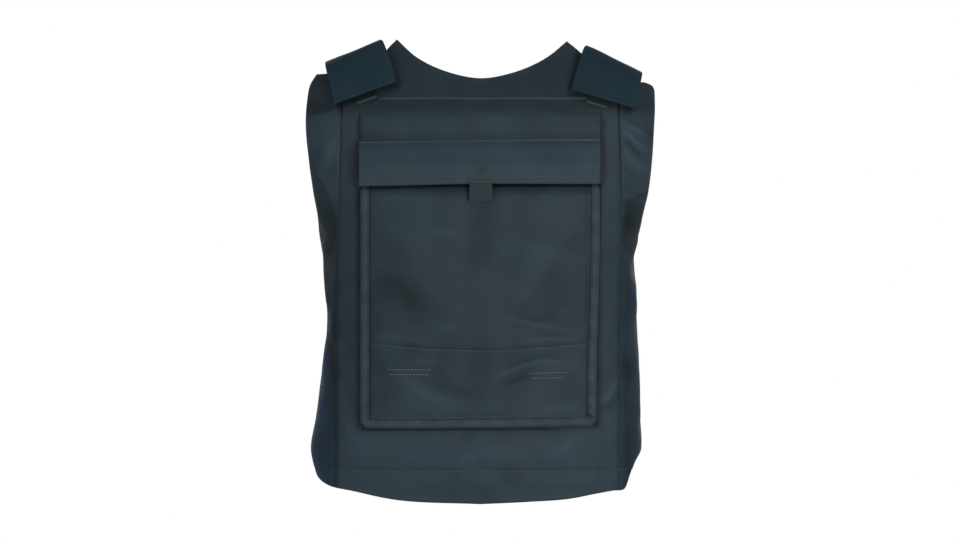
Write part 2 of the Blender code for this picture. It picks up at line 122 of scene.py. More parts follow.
BACK_SIDE = (
    (-0.042, 0.088), (-0.042, 0.130), (-0.042, 0.170), (-0.042, 0.210), (-0.042, 0.245),
    (-0.035, 0.272), (-0.020, 0.284), (0.000, 0.292), (0.022, 0.312), (0.040, 0.336),
    (0.055, 0.368), (0.061, 0.405), (0.060, 0.440),
)

# Distance round the body from a panel's middle as far as its front shows, and as far as its tones go
FRONT_REACH = 0.24
TONE_REACH = 0.26

# Padding of the panels and how their edges are turned
FRONT_PADDING = 0.009
BACK_PADDING = 0.008
WEIGHT_STEPS = 20
SMOOTH_ANGLE = 50
EDGE_ROLL = 0.0024
EDGE_SHARE = 0.22
EDGE_REACH = 0.012
EDGE_CLUSTER = (0.0, 0.0005, 0.0012, 0.0023, 0.0040)
EDGE_CLUSTERS = (EDGE_CLUSTER, tuple(-step for step in reversed(EDGE_CLUSTER)))
SEAM_CLUSTER = (-0.0042, -0.0024, -0.0013, -0.0006, 0.0, 0.0006, 0.0013, 0.0024, 0.0042)
STITCH_CLUSTER = (-0.0022, -0.0008, 0.0, 0.0008, 0.0022)

# Side closure: the front wings lie over the back wings
TUCK = 0.0102
TUCK_START = 0.132
TUCK_FULL = 0.172
TUCK_TOP = 0.300
TUCK_FADE = 0.060

# Seams of the front panel: x and height
PRINCESS_SEAMS = {
    "left": ((-0.1676, 0.000), (-0.1664, 0.031), (-0.1654, 0.236), (-0.1641, 0.293), (-0.1597, 0.410),
             (-0.1585, 0.453), (-0.1585, 0.540)),
    "right": ((0.1618, 0.000), (0.1616, 0.031), (0.1610, 0.236), (0.1621, 0.350), (0.1590, 0.447),
              (0.1585, 0.540)),
}
YOKE_SEAM = 0.4655
HEM_STITCH = 0.0413

# Plate pocket, its backing, binding and flap
POCKET_LEFT = -0.1348
POCKET_RIGHT = 0.1312
POCKET_BOTTOM = 0.0915
POCKET_LEAN = 0.0042
POCKET_RISE = 0.0030
POCKET_MOUTH = 0.386
POCKET_DEPTH = 0.016
POCKET_ROLL = 0.0045
POCKET_CORNER = 0.007
POCKET_MOUTH_DIP = 0.0070
POCKET_ROW = 0.1780
POCKET_ROW_SAG = 0.0072
GUSSET_SEAT = 0.0035
BACKING_LEFT = -0.1375
BACKING_RIGHT = 0.1385
BACKING_TOP = 0.4495
BACKING_CLOTH = 0.0015
BINDING_WIDTH = 0.0090
BINDING_STITCH = 0.0068
BINDING_RETURN = 0.006
BINDING_CLOTH = 0.0012
FLAP_LEFT = -0.1378
FLAP_RIGHT = 0.1366
FLAP_BOTTOM = 0.3665
FLAP_TOP = 0.4180
FLAP_CLOTH = 0.003
FLAP_TAB_WIDTH = 0.0258
FLAP_TAB_MIDDLE = 0.0008
FLAP_TAB_BOTTOM = 0.3480
FLAP_TAB_TOP = 0.3715
GAP = 0.0005
SEAT = GAP + BACKING_CLOTH + GAP
FLAP_SEAT = POCKET_DEPTH + GAP + BINDING_CLOTH + GAP

# Shoulder straps and their webbing tabs
StrapShape = namedtuple("StrapShape", "front_in front_out top_in top_out back_in back_out tab_share")
STRAPS = {
    "left": StrapShape((-0.0945, 0.4835), (-0.1655, 0.4585), (-0.1115, 0.5350), (-0.1780, 0.5110),
                       (-0.1000, 0.4450), (-0.1720, 0.4300), 0.52),
    "right": StrapShape((0.1027, 0.4745), (0.1755, 0.4540), (0.1195, 0.5280), (0.1862, 0.4990),
                        (0.1020, 0.4450), (0.1740, 0.4300), 0.44),
}
STRAP_THICKNESS = 0.0055
STRAP_STANDOFF = 0.0045
STRAP_FRONT_SHARES = (0.0, 0.5, 1.0)
STRAP_LAP_IN = 0.84
STRAP_LAP_OUT = 0.62
STRAP_BACK_SHARES = (0.72, 0.48, 0.24, 0.0)
STRAP_BACK_STANDOFFS = (0.0036, 0.0022, 0.0010, 0.0006)
STRAP_TOP_REACH = 0.018
STRAP_RIM = 0.0050
STRAP_TAB_WIDTH = 0.025
STRAP_TAB_DROP = 0.0085
STRAP_TAB_ROLL = 0.0021
STRAP_TAB_HIDDEN = 0.014
STRAP_TAB_SEAT = 0.0008

# Stitches
STITCH_LENGTH = 0.0027
STITCH_PITCH = 0.0036
STITCH_WIDTH = 0.0006
STITCH_HEIGHT = 0.0005

# Painted highlight and shade on folds: how much lighter the cloth is painted for each metre that a fold
# stands out, and darker for each metre that a crease sinks
FOLD_SHADING = 170.0
SETTLED_FOLD_SHADING = 80.0
# Darkest that the stored tone of wear and painted light and shade may be
LEAST_STORED_TONE = -0.85

# Depth at which the painted shade, light and blue sheen of the sides have faded out round the body, and over
# what depth they fade; the same for the painted blue glints
SIDE_FADE_END = 0.020
SIDE_FADE = 0.040
GLINT_FADE_END = -0.004
GLINT_FADE = 0.020

# Princess seams: depth of the groove and pitch of its puckers
SEAM_DEPTH = 0.0012
PUCKER_PITCH = 0.013

# Darkest tone of the front panel
LEAST_TONE = -0.85

# Thickness of the sheets' meshes
BACKING_MESH = 0.0012
POCKET_MESH = 0.0016
BINDING_MESH = 0.0010
FLAP_MESH = 0.0024
STRAP_TAB_MESH = 0.0012
FLAP_TAB_MESH = 0.0022

# Unevenness of cloth: how many waves it is made of, and the height of their sum
RIPPLE_WAVES = 9
RIPPLE_HEIGHT = 4.0

# Settling of slack cloth
SETTLE_STEPS = 20
SETTLE_QUALITY = 6


# Form of the torso


def curve(places, xs, ys):
    """Heights of the smooth curve through the points (xs, ys)."""
    xs, ys = np.asarray(xs, dtype=float), np.asarray(ys, dtype=float)
    places = np.clip(places, xs[0], xs[-1])
    slopes = np.gradient(ys, xs)
    first = np.clip(np.searchsorted(xs, places, side="right") - 1, 0, len(xs) - 2)
    step = xs[first + 1] - xs[first]
    t = (places - xs[first]) / step
    return ((2 * t**3 - 3 * t**2 + 1) * ys[first] + (t**3 - 2 * t**2 + t) * step * slopes[first]
            + (3 * t**2 - 2 * t**3) * ys[first + 1] + (t**3 - t**2) * step * slopes[first + 1])


def ease(share):
    """Share from 0 to 1 with a soft start and end."""
    share = np.clip(share, 0.0, 1.0)
    return share * share * (3.0 - 2.0 * share)


def reach(path):
    """Distance along a path to each of its points."""
    return np.concatenate([[0.0], np.cumsum(np.linalg.norm(np.diff(path, axis=0), axis=1))])


def read_path(places, length, path):
    """Points of a path at places along it, where length is the place of each of its own points."""
    return np.stack([np.interp(places, length, column) for column in path.T], axis=1)


def smooth_path(points, count):
    """Smooth curve through the points, read at count + 1 even steps of its length."""
    points = np.array(points, dtype=float)
    if len(points) == 2:
        return np.linspace(points[0], points[1], count + 1)
    length = reach(points)
    places = np.linspace(0.0, length[-1], count + 1)
    return np.stack([curve(places, length, column) for column in points.T], axis=1)


def half_table(side, facing):
    """x and y over height and distance from a panel's middle, on one side."""
    width = curve(HEIGHTS, TORSO.height, TORSO.left if side < 0 else TORSO.right)
    front = curve(HEIGHTS, TORSO.height, TORSO.front)
    back = curve(HEIGHTS, TORSO.height, TORSO.back)
    near, far = (front, back) if facing == FRONT else (back, front)
    turn = np.linspace(0.0, pi, SECTION_STEPS + 1)
    sine, cosine = np.sin(turn) ** (2.0 / ROUNDNESS), np.cos(turn)
    lobe = np.sign(cosine) * np.abs(cosine) ** (2.0 / ROUNDNESS)
    distances = ALONGS[ALONGS > -0.0005]
    xs, ys = [], []
    for row in range(len(HEIGHTS)):
        x = side * width[row] * sine
        y = facing * np.where(cosine > 0, near[row], far[row]) * lobe
        along = reach(np.stack([x, y], axis=1))
        xs.append(np.interp(distances, along, x))
        ys.append(np.interp(distances, along, y))
    return np.array(xs), np.array(ys)


def skin_table(facing):
    """Points and outward directions of the torso over height and along, for one panel."""
    right, left = half_table(-facing, facing), half_table(facing, facing)
    x = np.concatenate([left[0][:, :0:-1], right[0]], axis=1)
    y = np.concatenate([left[1][:, :0:-1], right[1]], axis=1)
    z = np.repeat((HEIGHTS - SHOULDER_HEIGHT)[:, None], x.shape[1], axis=1)
    points = np.stack([x, y, z], axis=2)
    across, up = int(SLOPE_REACH / ALONG_STEP), int(SLOPE_REACH / HEIGHT_STEP)
    wide = np.pad(points, ((0, 0), (across, across), (0, 0)), mode="reflect", reflect_type="odd")
    tall = np.pad(points, ((up, up), (0, 0), (0, 0)), mode="reflect", reflect_type="odd")
    level = wide[:, 2 * across:] - wide[:, :-2 * across]
    rise = tall[2 * up:] - tall[:-2 * up]
    out = np.cross(level, rise)
    out /= np.linalg.norm(out, axis=2, keepdims=True)
    return np.concatenate([points, out], axis=2)


SKIN = {FRONT: skin_table(FRONT), BACK: skin_table(BACK)}


def read_skin(along, height, facing=FRONT):
    """Points and outward directions on the torso at many places."""
    table = SKIN[facing]
    column = np.clip((along - ALONGS[0]) / ALONG_STEP, 0, table.shape[1] - 1.001)
    row = np.clip((height - HEIGHTS[0]) / HEIGHT_STEP, 0, table.shape[0] - 1.001)
    i, j = column.astype(int), row.astype(int)
    s, t = (column - i)[..., None], (row - j)[..., None]
    low = table[j, i] * (1 - s) + table[j, i + 1] * s
    high = table[j + 1, i] * (1 - s) + table[j + 1, i + 1] * s
    both = low * (1 - t) + high * t
    out = both[..., 3:]
    return both[..., :3], out / np.linalg.norm(out, axis=-1, keepdims=True)


def depth_at(x, height, facing=FRONT):
    """Depth y of the torso's near side at places seen from the front."""
    width = np.where(x < 0, curve(height, TORSO.height, TORSO.left), curve(height, TORSO.height, TORSO.right))
    near = curve(height, TORSO.height, TORSO.front if facing == FRONT else TORSO.back)
    share = np.clip(np.abs(x) / width, 0.0, 0.999)
    return facing * near * (1.0 - share**ROUNDNESS) ** (1.0 / ROUNDNESS)


def before(x, height, offset=0.0, facing=FRONT):
    """Points outside the torso that keep their x and height as seen from the front."""
    x, height = np.broadcast_arrays(np.asarray(x, dtype=float), np.asarray(height, dtype=float))
    step = SLOPE_STEP
    slope_x = (depth_at(x + step, height, facing) - depth_at(x - step, height, facing)) / (2 * step)
    slope_z = (depth_at(x, height + step, facing) - depth_at(x, height - step, facing)) / (2 * step)
    y = depth_at(x, height, facing) + facing * offset * np.sqrt(1.0 + slope_x**2 + slope_z**2)
    return np.stack([x, y, height - SHOULDER_HEIGHT], axis=-1)


def read_rows(height, facing):
    """The two rows of the torso's table on either side of a height, and the share of the upper one."""
    place = (height - HEIGHTS[0]) / HEIGHT_STEP
    row = int(place)
    return SKIN[facing][row], SKIN[facing][row + 1], place - row


def along_at_x(x, height, facing=FRONT):
    """Distance along at which a panel's near half reaches x."""
    middle, reach_steps = len(ALONGS) // 2, round(FRONT_REACH / ALONG_STEP)
    near = slice(middle - reach_steps, middle + reach_steps + 1)
    low, high, share = read_rows(height, facing)
    places = [np.interp(-facing * x, -facing * row[near, 0], ALONGS[near]) for row in (low, high)]
    return places[0] * (1 - share) + places[1] * share


def along_at_depth(depth, height, side, facing=FRONT):
    """Distance along at which the section reaches the depth y on one side in x."""
    sign = -facing * side
    ring = slice(len(ALONGS) // 2, None) if sign > 0 else slice(len(ALONGS) // 2, None, -1)
    low, high, share = read_rows(height, facing)
    places = [np.interp(-facing * depth, -facing * row[ring, 1], np.abs(ALONGS[ring])) for row in (low, high)]
    return sign * (places[0] * (1 - share) + places[1] * share)


# Nets of points over the panels


def at_shares(path, shares):
    """Points of a path at the given shares of its length."""
    length = reach(path)
    return read_path(np.asarray(shares) * length[-1], length, path)


def stations(anchors, clusters, counts):
    """Places along every line: a cluster at each anchor and even steps between them."""
    parts = []
    for index, cluster in enumerate(clusters):
        parts.append(anchors[:, index:index + 1] + np.array(cluster))
        if index < len(counts):
            start = anchors[:, index] + cluster[-1]
            stop = anchors[:, index + 1] + clusters[index + 1][0]
            shares = np.arange(1, counts[index] + 1) / (counts[index] + 1)
            parts.append(start[:, None] + (stop - start)[:, None] * shares)
    return np.concatenate(parts, axis=1)


def reread(lines, anchors, clusters, counts):
    """Lines read again at stations; the anchors are given as places in each line's list of points."""
    index = np.arange(lines.shape[1])
    lengths = np.stack([reach(line) for line in lines])
    at_anchor = np.stack([np.interp(row, index, length) for row, length in zip(anchors, lengths)])
    wanted = stations(at_anchor, clusters, counts)
    return np.stack([read_path(row, length, line) for row, length, line in zip(wanted, lengths, lines)])


def patch(top, bottom, left, right):
    """Net of (along, height) points filled in between a panel's four edges."""
    us = ((top[:, 0] - top[0, 0]) / (top[-1, 0] - top[0, 0]))[None, :, None]
    vs = np.linspace(0.0, 1.0, len(left))[:, None, None]
    edges = (1 - vs) * bottom[None] + vs * top[None] + (1 - us) * left[:, None] + us * right[:, None]
    corners = ((1 - vs) * ((1 - us) * bottom[0] + us * bottom[-1])
               + vs * ((1 - us) * top[0] + us * top[-1]))
    return edges - corners


def panel_edges(top_runs, run_counts, hem, side_points, facing, rows):
    """A panel's top, hem, left and right edges as (along, height) points."""
    top = []
    for run, count in zip(top_runs, run_counts):
        spots = smooth_path(run, count)
        top.extend(spots if not top else spots[1:])
    top = np.array([(along_at_x(x, height, facing), height) for x, height in top])
    hem = at_shares(hem, (top[:, 0] - top[0, 0]) / (top[-1, 0] - top[0, 0]))
    sides = []
    for side, corner in ((facing, top[0]), (-facing, top[-1])):
        places = [(along_at_depth(depth, height, side, facing), height) for depth, height in side_points]
        sides.append(smooth_path(places + [tuple(corner)], rows))
    hem[0], hem[-1] = sides[0][0], sides[1][0]
    return top, hem, sides[0], sides[1]


def crossing(values):
    """Place in each row at which its values first pass from below zero to above it."""
    first = np.argmax(values > 0, axis=1)
    rows = np.arange(len(values))
    low, high = values[rows, first - 1], values[rows, first]
    return first - 1 + low / (low - high)


def spans(net):
    """Distances of a net's points from its left border and from its lower border."""
    across = np.pad(np.linalg.norm(np.diff(net, axis=1), axis=2), ((0, 0), (1, 0))).cumsum(axis=1)
    up = np.pad(np.linalg.norm(np.diff(net, axis=0), axis=2), ((1, 0), (0, 0))).cumsum(axis=0)
    return across, up


def edge_distance(net):
    """Distance of each of a net's points from the nearest edge."""
    across, up = spans(net)
    return np.minimum.reduce([across, across[:, -1:] - across, up, up[-1:] - up])


def from_edges(x, height, left, right, low=None, high=None):
    """Distance of places from the nearest of the given edges of a rectangle."""
    gaps = [x - left, right - x]
    gaps += [height - low] if low is not None else []
    gaps += [high - height] if high is not None else []
    return np.minimum.reduce(np.broadcast_arrays(*gaps))


def roll(distance, radius):
    """How far a rolled edge of that radius falls back at a distance from the edge."""
    share = np.clip(1.0 - distance / radius, 0.0, 1.0)
    return radius * (1.0 - np.sqrt(1.0 - share**2))


# Relief of the cloth


def wave(distance, length, shift=0.0):
    """Wave of height 1 and the given length."""
    return np.sin(distance * 2 * pi / length + shift)


def ripple(across, up, scale, seed):
    """Gentle unevenness from about -1 to 1, with waves of about the given length."""
    dice = np.random.default_rng(seed)
    total = np.zeros(np.broadcast(across, up).shape)
    for _ in range(RIPPLE_WAVES):
        turn, phase = dice.uniform(0, 2 * pi, 2)
        length = scale * dice.uniform(0.7, 1.5)
        total = total + wave(across * np.cos(turn) + up * np.sin(turn), length, phase)
    return total / RIPPLE_HEIGHT


def ridge(distance, width):
    """Soft ridge of height 1 at distance 0."""
    return np.exp(-((distance / width) ** 2))


# A fold: its course as (x, height) points, its half width and how far it stands out
Fold = namedtuple("Fold", "course width rise")


def fold_relief(folds, x, height):
    """Height that a list of folds adds at each place; each fades out towards its ends."""
    x, height = np.broadcast_arrays(x, height)
    total = np.zeros(x.shape)
    for fold in folds:
        course = np.array(fold.course)
        length = reach(course)
        nearest = np.full(np.shape(x), 9.0)
        share = np.zeros(np.shape(x))
        for start, stop, done in zip(course, course[1:], length):
            run = stop - start
            size = np.hypot(*run)
            t = np.clip(((x - start[0]) * run[0] + (height - start[1]) * run[1]) / size**2, 0.0, 1.0)
            away = np.hypot(x - start[0] - t * run[0], height - start[1] - t * run[1])
            closer = away < nearest
            nearest = np.where(closer, away, nearest)
            share = np.where(closer, (done + t * size) / length[-1], share)
        total += fold.rise * ridge(nearest, fold.width) * np.sin(pi * np.clip(share, 0.02, 0.98)) ** 0.5
    return total


# Meshes


def set_tone_attribute(piece, wear_and_painted_light, name="wear_and_painted_light"):
    """Stores how much lighter (above 0) or darker the cloth is at each vertex, from its wear and from painted
    light and shade, or how far its painted blue sheen goes.
    """
    values = np.array(np.broadcast_to(wear_and_painted_light, (len(piece.data.vertices),)), dtype=np.float32)
    values = np.maximum(values, LEAST_STORED_TONE)
    piece.data.attributes.new(name, "FLOAT", "POINT").data.foreach_set("value", values)


def pick(piece):
    """Selects one piece alone and makes it the active one."""
    bpy.ops.object.select_all(action="DESELECT")
    bpy.context.view_layer.objects.active = piece
    piece.select_set(True)


def set_uv(mesh, uv):
    """Gives a mesh the UV coordinates of its vertices."""
    corners = np.empty(len(mesh.loops), dtype=np.int32)
    mesh.loops.foreach_get("vertex_index", corners)
    mesh.uv_layers.active.data.foreach_set("uv", uv[corners].ravel())


def cloth_grid(name, points, uv, wear_and_painted_light=0.0):
    """Grid piece whose vertices are moved to the points, with a UV map in metres and its wear and painted
    light and shade.
    """
    rows, columns = points.shape[0] - 1, points.shape[1] - 1
    bpy.ops.object.select_all(action="DESELECT")
    bpy.ops.mesh.primitive_grid_add(x_subdivisions=columns, y_subdivisions=rows, size=1.0)
    piece = bpy.context.object
    piece.name = piece.data.name = name
    mesh = piece.data
    mesh.vertices.foreach_set("co", np.ascontiguousarray(points.reshape(-1, 3)).ravel())
    set_uv(mesh, uv.reshape(-1, 2))
    set_tone_attribute(piece, np.ravel(wear_and_painted_light) if np.ndim(wear_and_painted_light) else wear_and_painted_light)
    mesh.update()
    return piece


def apply(piece, modifier):
    """Applies a modifier to its piece."""
    pick(piece)
    bpy.ops.object.modifier_apply(modifier=modifier.name)


def thicken(piece, thickness, weights=None, least=1.0):
    """Gives a grid piece its thickness behind it, thinner where its weights are low."""
    solid = piece.modifiers.new("Thickness", "SOLIDIFY")
    solid.thickness = thickness
    solid.offset = -1.0
    solid.use_quality_normals = True
    if weights is not None:
        group = piece.vertex_groups.new(name="padding")
        steps = np.round(np.clip(weights.ravel(), 0, 1) * WEIGHT_STEPS).astype(int)
        for step in np.unique(steps):
            group.add(np.flatnonzero(steps == step).tolist(), step / WEIGHT_STEPS, "REPLACE")
        solid.vertex_group = group.name
        solid.thickness_vertex_group = least
    apply(piece, solid)
    piece.vertex_groups.clear()


def dress(piece, node, finish):
    """Gives a piece its finish and body, and lets it stand for its node."""
    piece.data.materials.clear()
    piece.data.materials.append(finish)
    pick(piece)
    bpy.ops.object.shade_smooth_by_angle(angle=radians(SMOOTH_ANGLE))
    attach(piece, "root")
    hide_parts(node)


def normals_of(points):
    """Directions out of a net of points whose rows go up and whose columns go right."""
    out = np.cross(np.gradient(points, axis=1), np.gradient(points, axis=0))
    return out / np.linalg.norm(out, axis=2, keepdims=True)


def smoothed(values, passes):
    """Values of a net, each averaged with its neighbours a number of times."""
    for _ in range(passes):
        wide = np.pad(values, 1, mode="edge")
        beside = wide[:-2, 1:-1] + wide[2:, 1:-1] + wide[1:-1, :-2] + wide[1:-1, 2:]
        values = (wide[1:-1, 1:-1] * 2 + beside) / 6
    return values


# Relief of settled cloth, read between its left, right, low and high limits
Settled = namedtuple("Settled", "left right low high relief")


def settle(place, limits, steps, held, slack, weight, cap, seed):
    """Relief that a slack cloth takes between its held places, found by cloth simulation.

    place gives the cloth's points at (across, up), limits are its least and greatest across and up, and
    weight is the share of gravity that pulls on it.
    """
    left, right, low, high = limits
    across, up = np.meshgrid(np.linspace(left, right, steps[0]), np.linspace(low, high, steps[1]))
    start = place(across, up)
    out = normals_of(start)
    uneven = np.random.default_rng(seed).normal(0.0, 0.00015, across.shape)
    start = start + out * smoothed(uneven, 2)[..., None]
    cloth = cloth_grid("settling_cloth", start, np.stack([across, up], axis=2))
    pinned = held(across, up)
    pinned[[0, -1]] = pinned[:, [0, -1]] = True
    pins = cloth.vertex_groups.new(name="held")
    pins.add(np.flatnonzero(pinned.ravel()).tolist(), 1.0, "REPLACE")
    fabric = cloth.modifiers.new("Cloth", "CLOTH")
    settings = fabric.settings
    settings.vertex_group_mass = pins.name
    settings.quality = SETTLE_QUALITY
    settings.mass = 0.2
    settings.tension_stiffness = settings.compression_stiffness = 60.0
    settings.shear_stiffness = 15.0
    settings.bending_stiffness = 50.0
    settings.shrink_min = -slack
    settings.effector_weights.gravity = weight
    fabric.point_cache.frame_start = 1
    fabric.point_cache.frame_end = SETTLE_STEPS
    for step in range(1, SETTLE_STEPS + 1):
        bpy.context.scene.frame_set(step)
    apply(cloth, fabric)
    moved = np.empty(start.size, dtype=np.float32)
    cloth.data.vertices.foreach_get("co", moved)
    bpy.data.objects.remove(cloth)
    bpy.context.scene.frame_set(1)
    relief = smoothed(((moved.reshape(start.shape) - start) * out).sum(axis=2), 2)
    return Settled(*limits, cap * np.tanh(relief / cap))


def read_settled(cloth, across, up):
    """Relief of a settled cloth at places; none outside it."""
    rows, columns = np.array(cloth.relief.shape) - 1
    s = (across - cloth.left) / (cloth.right - cloth.left) * columns
    t = (up - cloth.low) / (cloth.high - cloth.low) * rows
    inside = (s >= 0) & (s <= columns) & (t >= 0) & (t <= rows)
    i, j = np.clip(s, 0, columns - 1e-6).astype(int), np.clip(t, 0, rows - 1e-6).astype(int)
    s, t = np.clip(s - i, 0, 1), np.clip(t - j, 0, 1)
    low = cloth.relief[j, i] * (1 - s) + cloth.relief[j, i + 1] * s
    high = cloth.relief[j + 1, i] * (1 - s) + cloth.relief[j + 1, i + 1] * s
    return np.where(inside, low * (1 - t) + high * t, 0.0)


# Finishes


class Shade:
    """A value that changes over a surface; arithmetic on it adds Math nodes."""

    def __init__(self, finish, socket):
        self.finish = finish
        self.socket = socket

    def math(self, operation, *values):
        settings = {"operation": operation}
        return self.finish.node("ShaderNodeMath", settings, dict(enumerate(values)))

    def __add__(self, other):
        return self.math("ADD", self, other)

    __radd__ = __add__

    def __sub__(self, other):
        return self.math("SUBTRACT", self, other)

    def __rsub__(self, other):
        return self.math("SUBTRACT", other, self)

    def __mul__(self, other):
        return self.math("MULTIPLY", self, other)

    __rmul__ = __mul__

    def __truediv__(self, other):
        return self.math("DIVIDE", self, other)

    def __rtruediv__(self, other):
        return self.math("DIVIDE", other, self)

    def __pow__(self, other):
        return self.math("POWER", self, other)

    def sine(self):
        return self.math("SINE", self)

    def within(self):
        """The value kept from 0 to 1."""
        return self.math("MAXIMUM", self.math("MINIMUM", self, 1.0), 0.0)


class Finish:
    """A material under construction, with one Principled shader."""

    def __init__(self, name, **constants):
        self.material = bpy.data.materials.new(name)
        self.material.use_nodes = True
        self.tree = self.material.node_tree
        self.shader = self.tree.nodes["Principled BSDF"]
        for socket, value in constants.items():
            self.shader.inputs[socket.replace("_", " ")].default_value = value

    def node(self, kind, settings=(), inputs=(), output=0):
        """Adds a node, sets it and feeds it, and returns one of its outputs."""
        made = self.tree.nodes.new(kind)
        for key, value in dict(settings).items():
            setattr(made, key, value)
        for key, value in dict(inputs).items():
            self.feed(made.inputs[key], value)
        return Shade(self, made.outputs[output])

    def feed(self, socket, value):
        if isinstance(value, Shade):
            self.tree.links.new(value.socket, socket)
        else:
            socket.default_value = value

    def set(self, socket, value):
        """Feeds one of the shader's sockets."""
        self.feed(self.shader.inputs[socket], value)

    def place(self):
        """Position on the object."""
        return self.node("ShaderNodeTexCoord", output="Object")

    def noise(self, scale, detail=2.0, roughness=0.5):
        """Even noise over the object."""
        return self.node("ShaderNodeTexNoise", {},
                         {"Vector": self.place(), "Scale": scale, "Detail": detail, "Roughness": roughness})

    def parts(self, vector):
        """The three parts of a vector."""
        first = self.node("ShaderNodeSeparateXYZ", {}, {0: vector})
        return [Shade(self, socket) for socket in first.socket.node.outputs]

    def cloth_way(self):
        """Distances across and along the cloth, from the piece's UV map in metres."""
        return self.parts(self.node("ShaderNodeTexCoord", output="UV"))[:2]

    def ribs(self, distance, pitch):
        """Waves from 0 to 1 of that pitch."""
        return (distance * (2 * pi / pitch)).sine() * 0.5 + 0.5

    def mix(self, share, first, second):
        """Mix of two colours."""
        return self.node("ShaderNodeMix", {"data_type": "RGBA"}, {0: share, 6: first, 7: second}, output=2)

    def read(self, name):
        """The piece's own wear and painted light and shade, or its painted blue sheen, from its vertices."""
        return self.node("ShaderNodeAttribute", {"attribute_name": name}, output=2)

    def toned(self, colour, wear_and_painted_light):
        """A colour made lighter or darker by a share that changes over the surface."""
        return self.node("ShaderNodeVectorMath", {"operation": "SCALE"}, {0: colour, 3: wear_and_painted_light + 1.0})

    def bump(self, height, distance, strength=1.0, under=None):
        """Normal of a relief of that distance in metres, laid over another one."""
        inputs = {"Strength": strength, "Distance": distance, "Height": height}
        if under is not None:
            inputs["Normal"] = under
        return self.node("ShaderNodeBump", {}, inputs)


def tint(colour, share):
    """A colour made lighter or darker."""
    return tuple(min(part * share, 1.0) for part in colour[:3]) + (1.0,)


def plain_weave(finish, pitch):
    """Relief of a plain weave from 0 to 1: threads of that pitch pass over and under each other."""
    across, up = finish.cloth_way()
    turn = pi / pitch
    return (across * turn).sine() * (up * turn).sine() * 0.5 + 0.5


def woven_nylon(name, colour, weave_pitch, roughness, gloss):
    """Coated nylon: a tight weave with a soft satin coat, worn lighter in places, carrying painted light and
    shade from its vertices and a painted blue sheen and glints at the sides.
    """
    finish = Finish(name, Sheen_Weight=0.03, Sheen_Roughness=0.45, Sheen_Tint=(0.55, 0.78, 1.0, 1.0),
                    Specular_IOR_Level=gloss)
    broad = finish.noise(7.0, 3.0, 0.55)
    worn = finish.noise(38.0, 5.0, 0.65)
    hue = finish.noise(16.0, 2.0, 0.5)
    weave = plain_weave(finish, weave_pitch)
    # Painted blue sheen towards the sides, and painted glints where it passes 1
    painted_blue_sheen = finish.read("painted_blue_sheen")
    base = finish.mix(painted_blue_sheen.within(), colour + (1.0,), SIDE_SHEEN_COLOUR)
    base = finish.mix((painted_blue_sheen - 1.0).within(), base, GLINT_COLOUR)
    base = finish.mix(((hue - 0.35) * 3.0).within() * 0.16, base, WARM_COLOUR)
    wear_and_painted_light = finish.read("wear_and_painted_light") + (broad - 0.5) * 0.34 + (worn - 0.5) * 0.16
    base = finish.toned(base, wear_and_painted_light - weave * 0.10)
    rubbed = ((worn - 0.58) * 3.0).within() * 0.22
    base = finish.mix(rubbed, base, tint(colour, 1.6))
    finish.set("Base Color", base)
    finish.set("Roughness", roughness + (worn - 0.5) * 0.18 + rubbed * 0.2)
    soft = finish.bump(finish.noise(95.0, 3.0, 0.6), 0.0012, 0.40)
    finish.set("Normal", finish.bump(weave, 0.00018, 0.55, soft))
    return finish.material


def ribbed_webbing(name, colour, rib_pitch, roughness):
    """Woven webbing or tape with fine ribs across it, carrying painted light and shade from its vertices."""
    finish = Finish(name, Sheen_Weight=0.08, Sheen_Roughness=0.5, Sheen_Tint=(0.85, 0.90, 0.90, 1.0),
                    Specular_IOR_Level=0.22)
    across, up = finish.cloth_way()
    rib, cord = finish.ribs(up, rib_pitch), finish.ribs(across, rib_pitch * 1.4)
    broad = finish.noise(14.0, 3.0, 0.6)
    fuzz = finish.noise(900.0, 2.0, 0.6)
    wear_and_painted_light = finish.read("wear_and_painted_light") + (broad - 0.5) * 0.45 - rib * 0.16 + (fuzz - 0.5) * 0.2
    finish.set("Base Color", finish.toned(colour, wear_and_painted_light))
    finish.set("Roughness", roughness + (fuzz - 0.5) * 0.12)
    ribs = finish.bump(rib * 0.75 + cord * 0.25, 0.00035, 0.6)
    finish.set("Normal", finish.bump(fuzz, 0.00012, 0.4, ribs))
    return finish.material


def sewing_thread(name, colour):
    """Twisted polyester thread."""
    finish = Finish(name, Roughness=0.55, Specular_IOR_Level=0.35)
    x, _, up = finish.parts(finish.place())
    twist = finish.ribs(x + up, THREAD_TWIST)
    fade = finish.noise(40.0, 3.0, 0.6)
    finish.set("Base Color", finish.toned(colour, (fade - 0.5) * 0.9 - twist * 0.25))
    finish.set("Normal", finish.bump(twist, 0.0001, 0.4))
    return finish.material


NYLON_COLOUR = (0.026, 0.0450, 0.0584)
DARK_NYLON_COLOUR = (0.0160, 0.0395, 0.0550)
# Colours of the painted blue sheen of the sides and of the painted glints on them
SIDE_SHEEN_COLOUR = (0.0085, 0.034, 0.066, 1.0)
GLINT_COLOUR = (0.004, 0.046, 0.125, 1.0)
WARM_COLOUR = (0.040, 0.046, 0.050, 1.0)
TAPE_COLOUR = (0.041, 0.060, 0.069)
WEBBING_COLOUR = (0.0318, 0.0482, 0.0502)
THREAD_COLOUR = (0.110, 0.135, 0.150)
DARK_THREAD_COLOUR = (0.036, 0.056, 0.068)
BRIGHT_THREAD_COLOUR = (0.170, 0.200, 0.210)
THREAD_TWIST = 0.0011

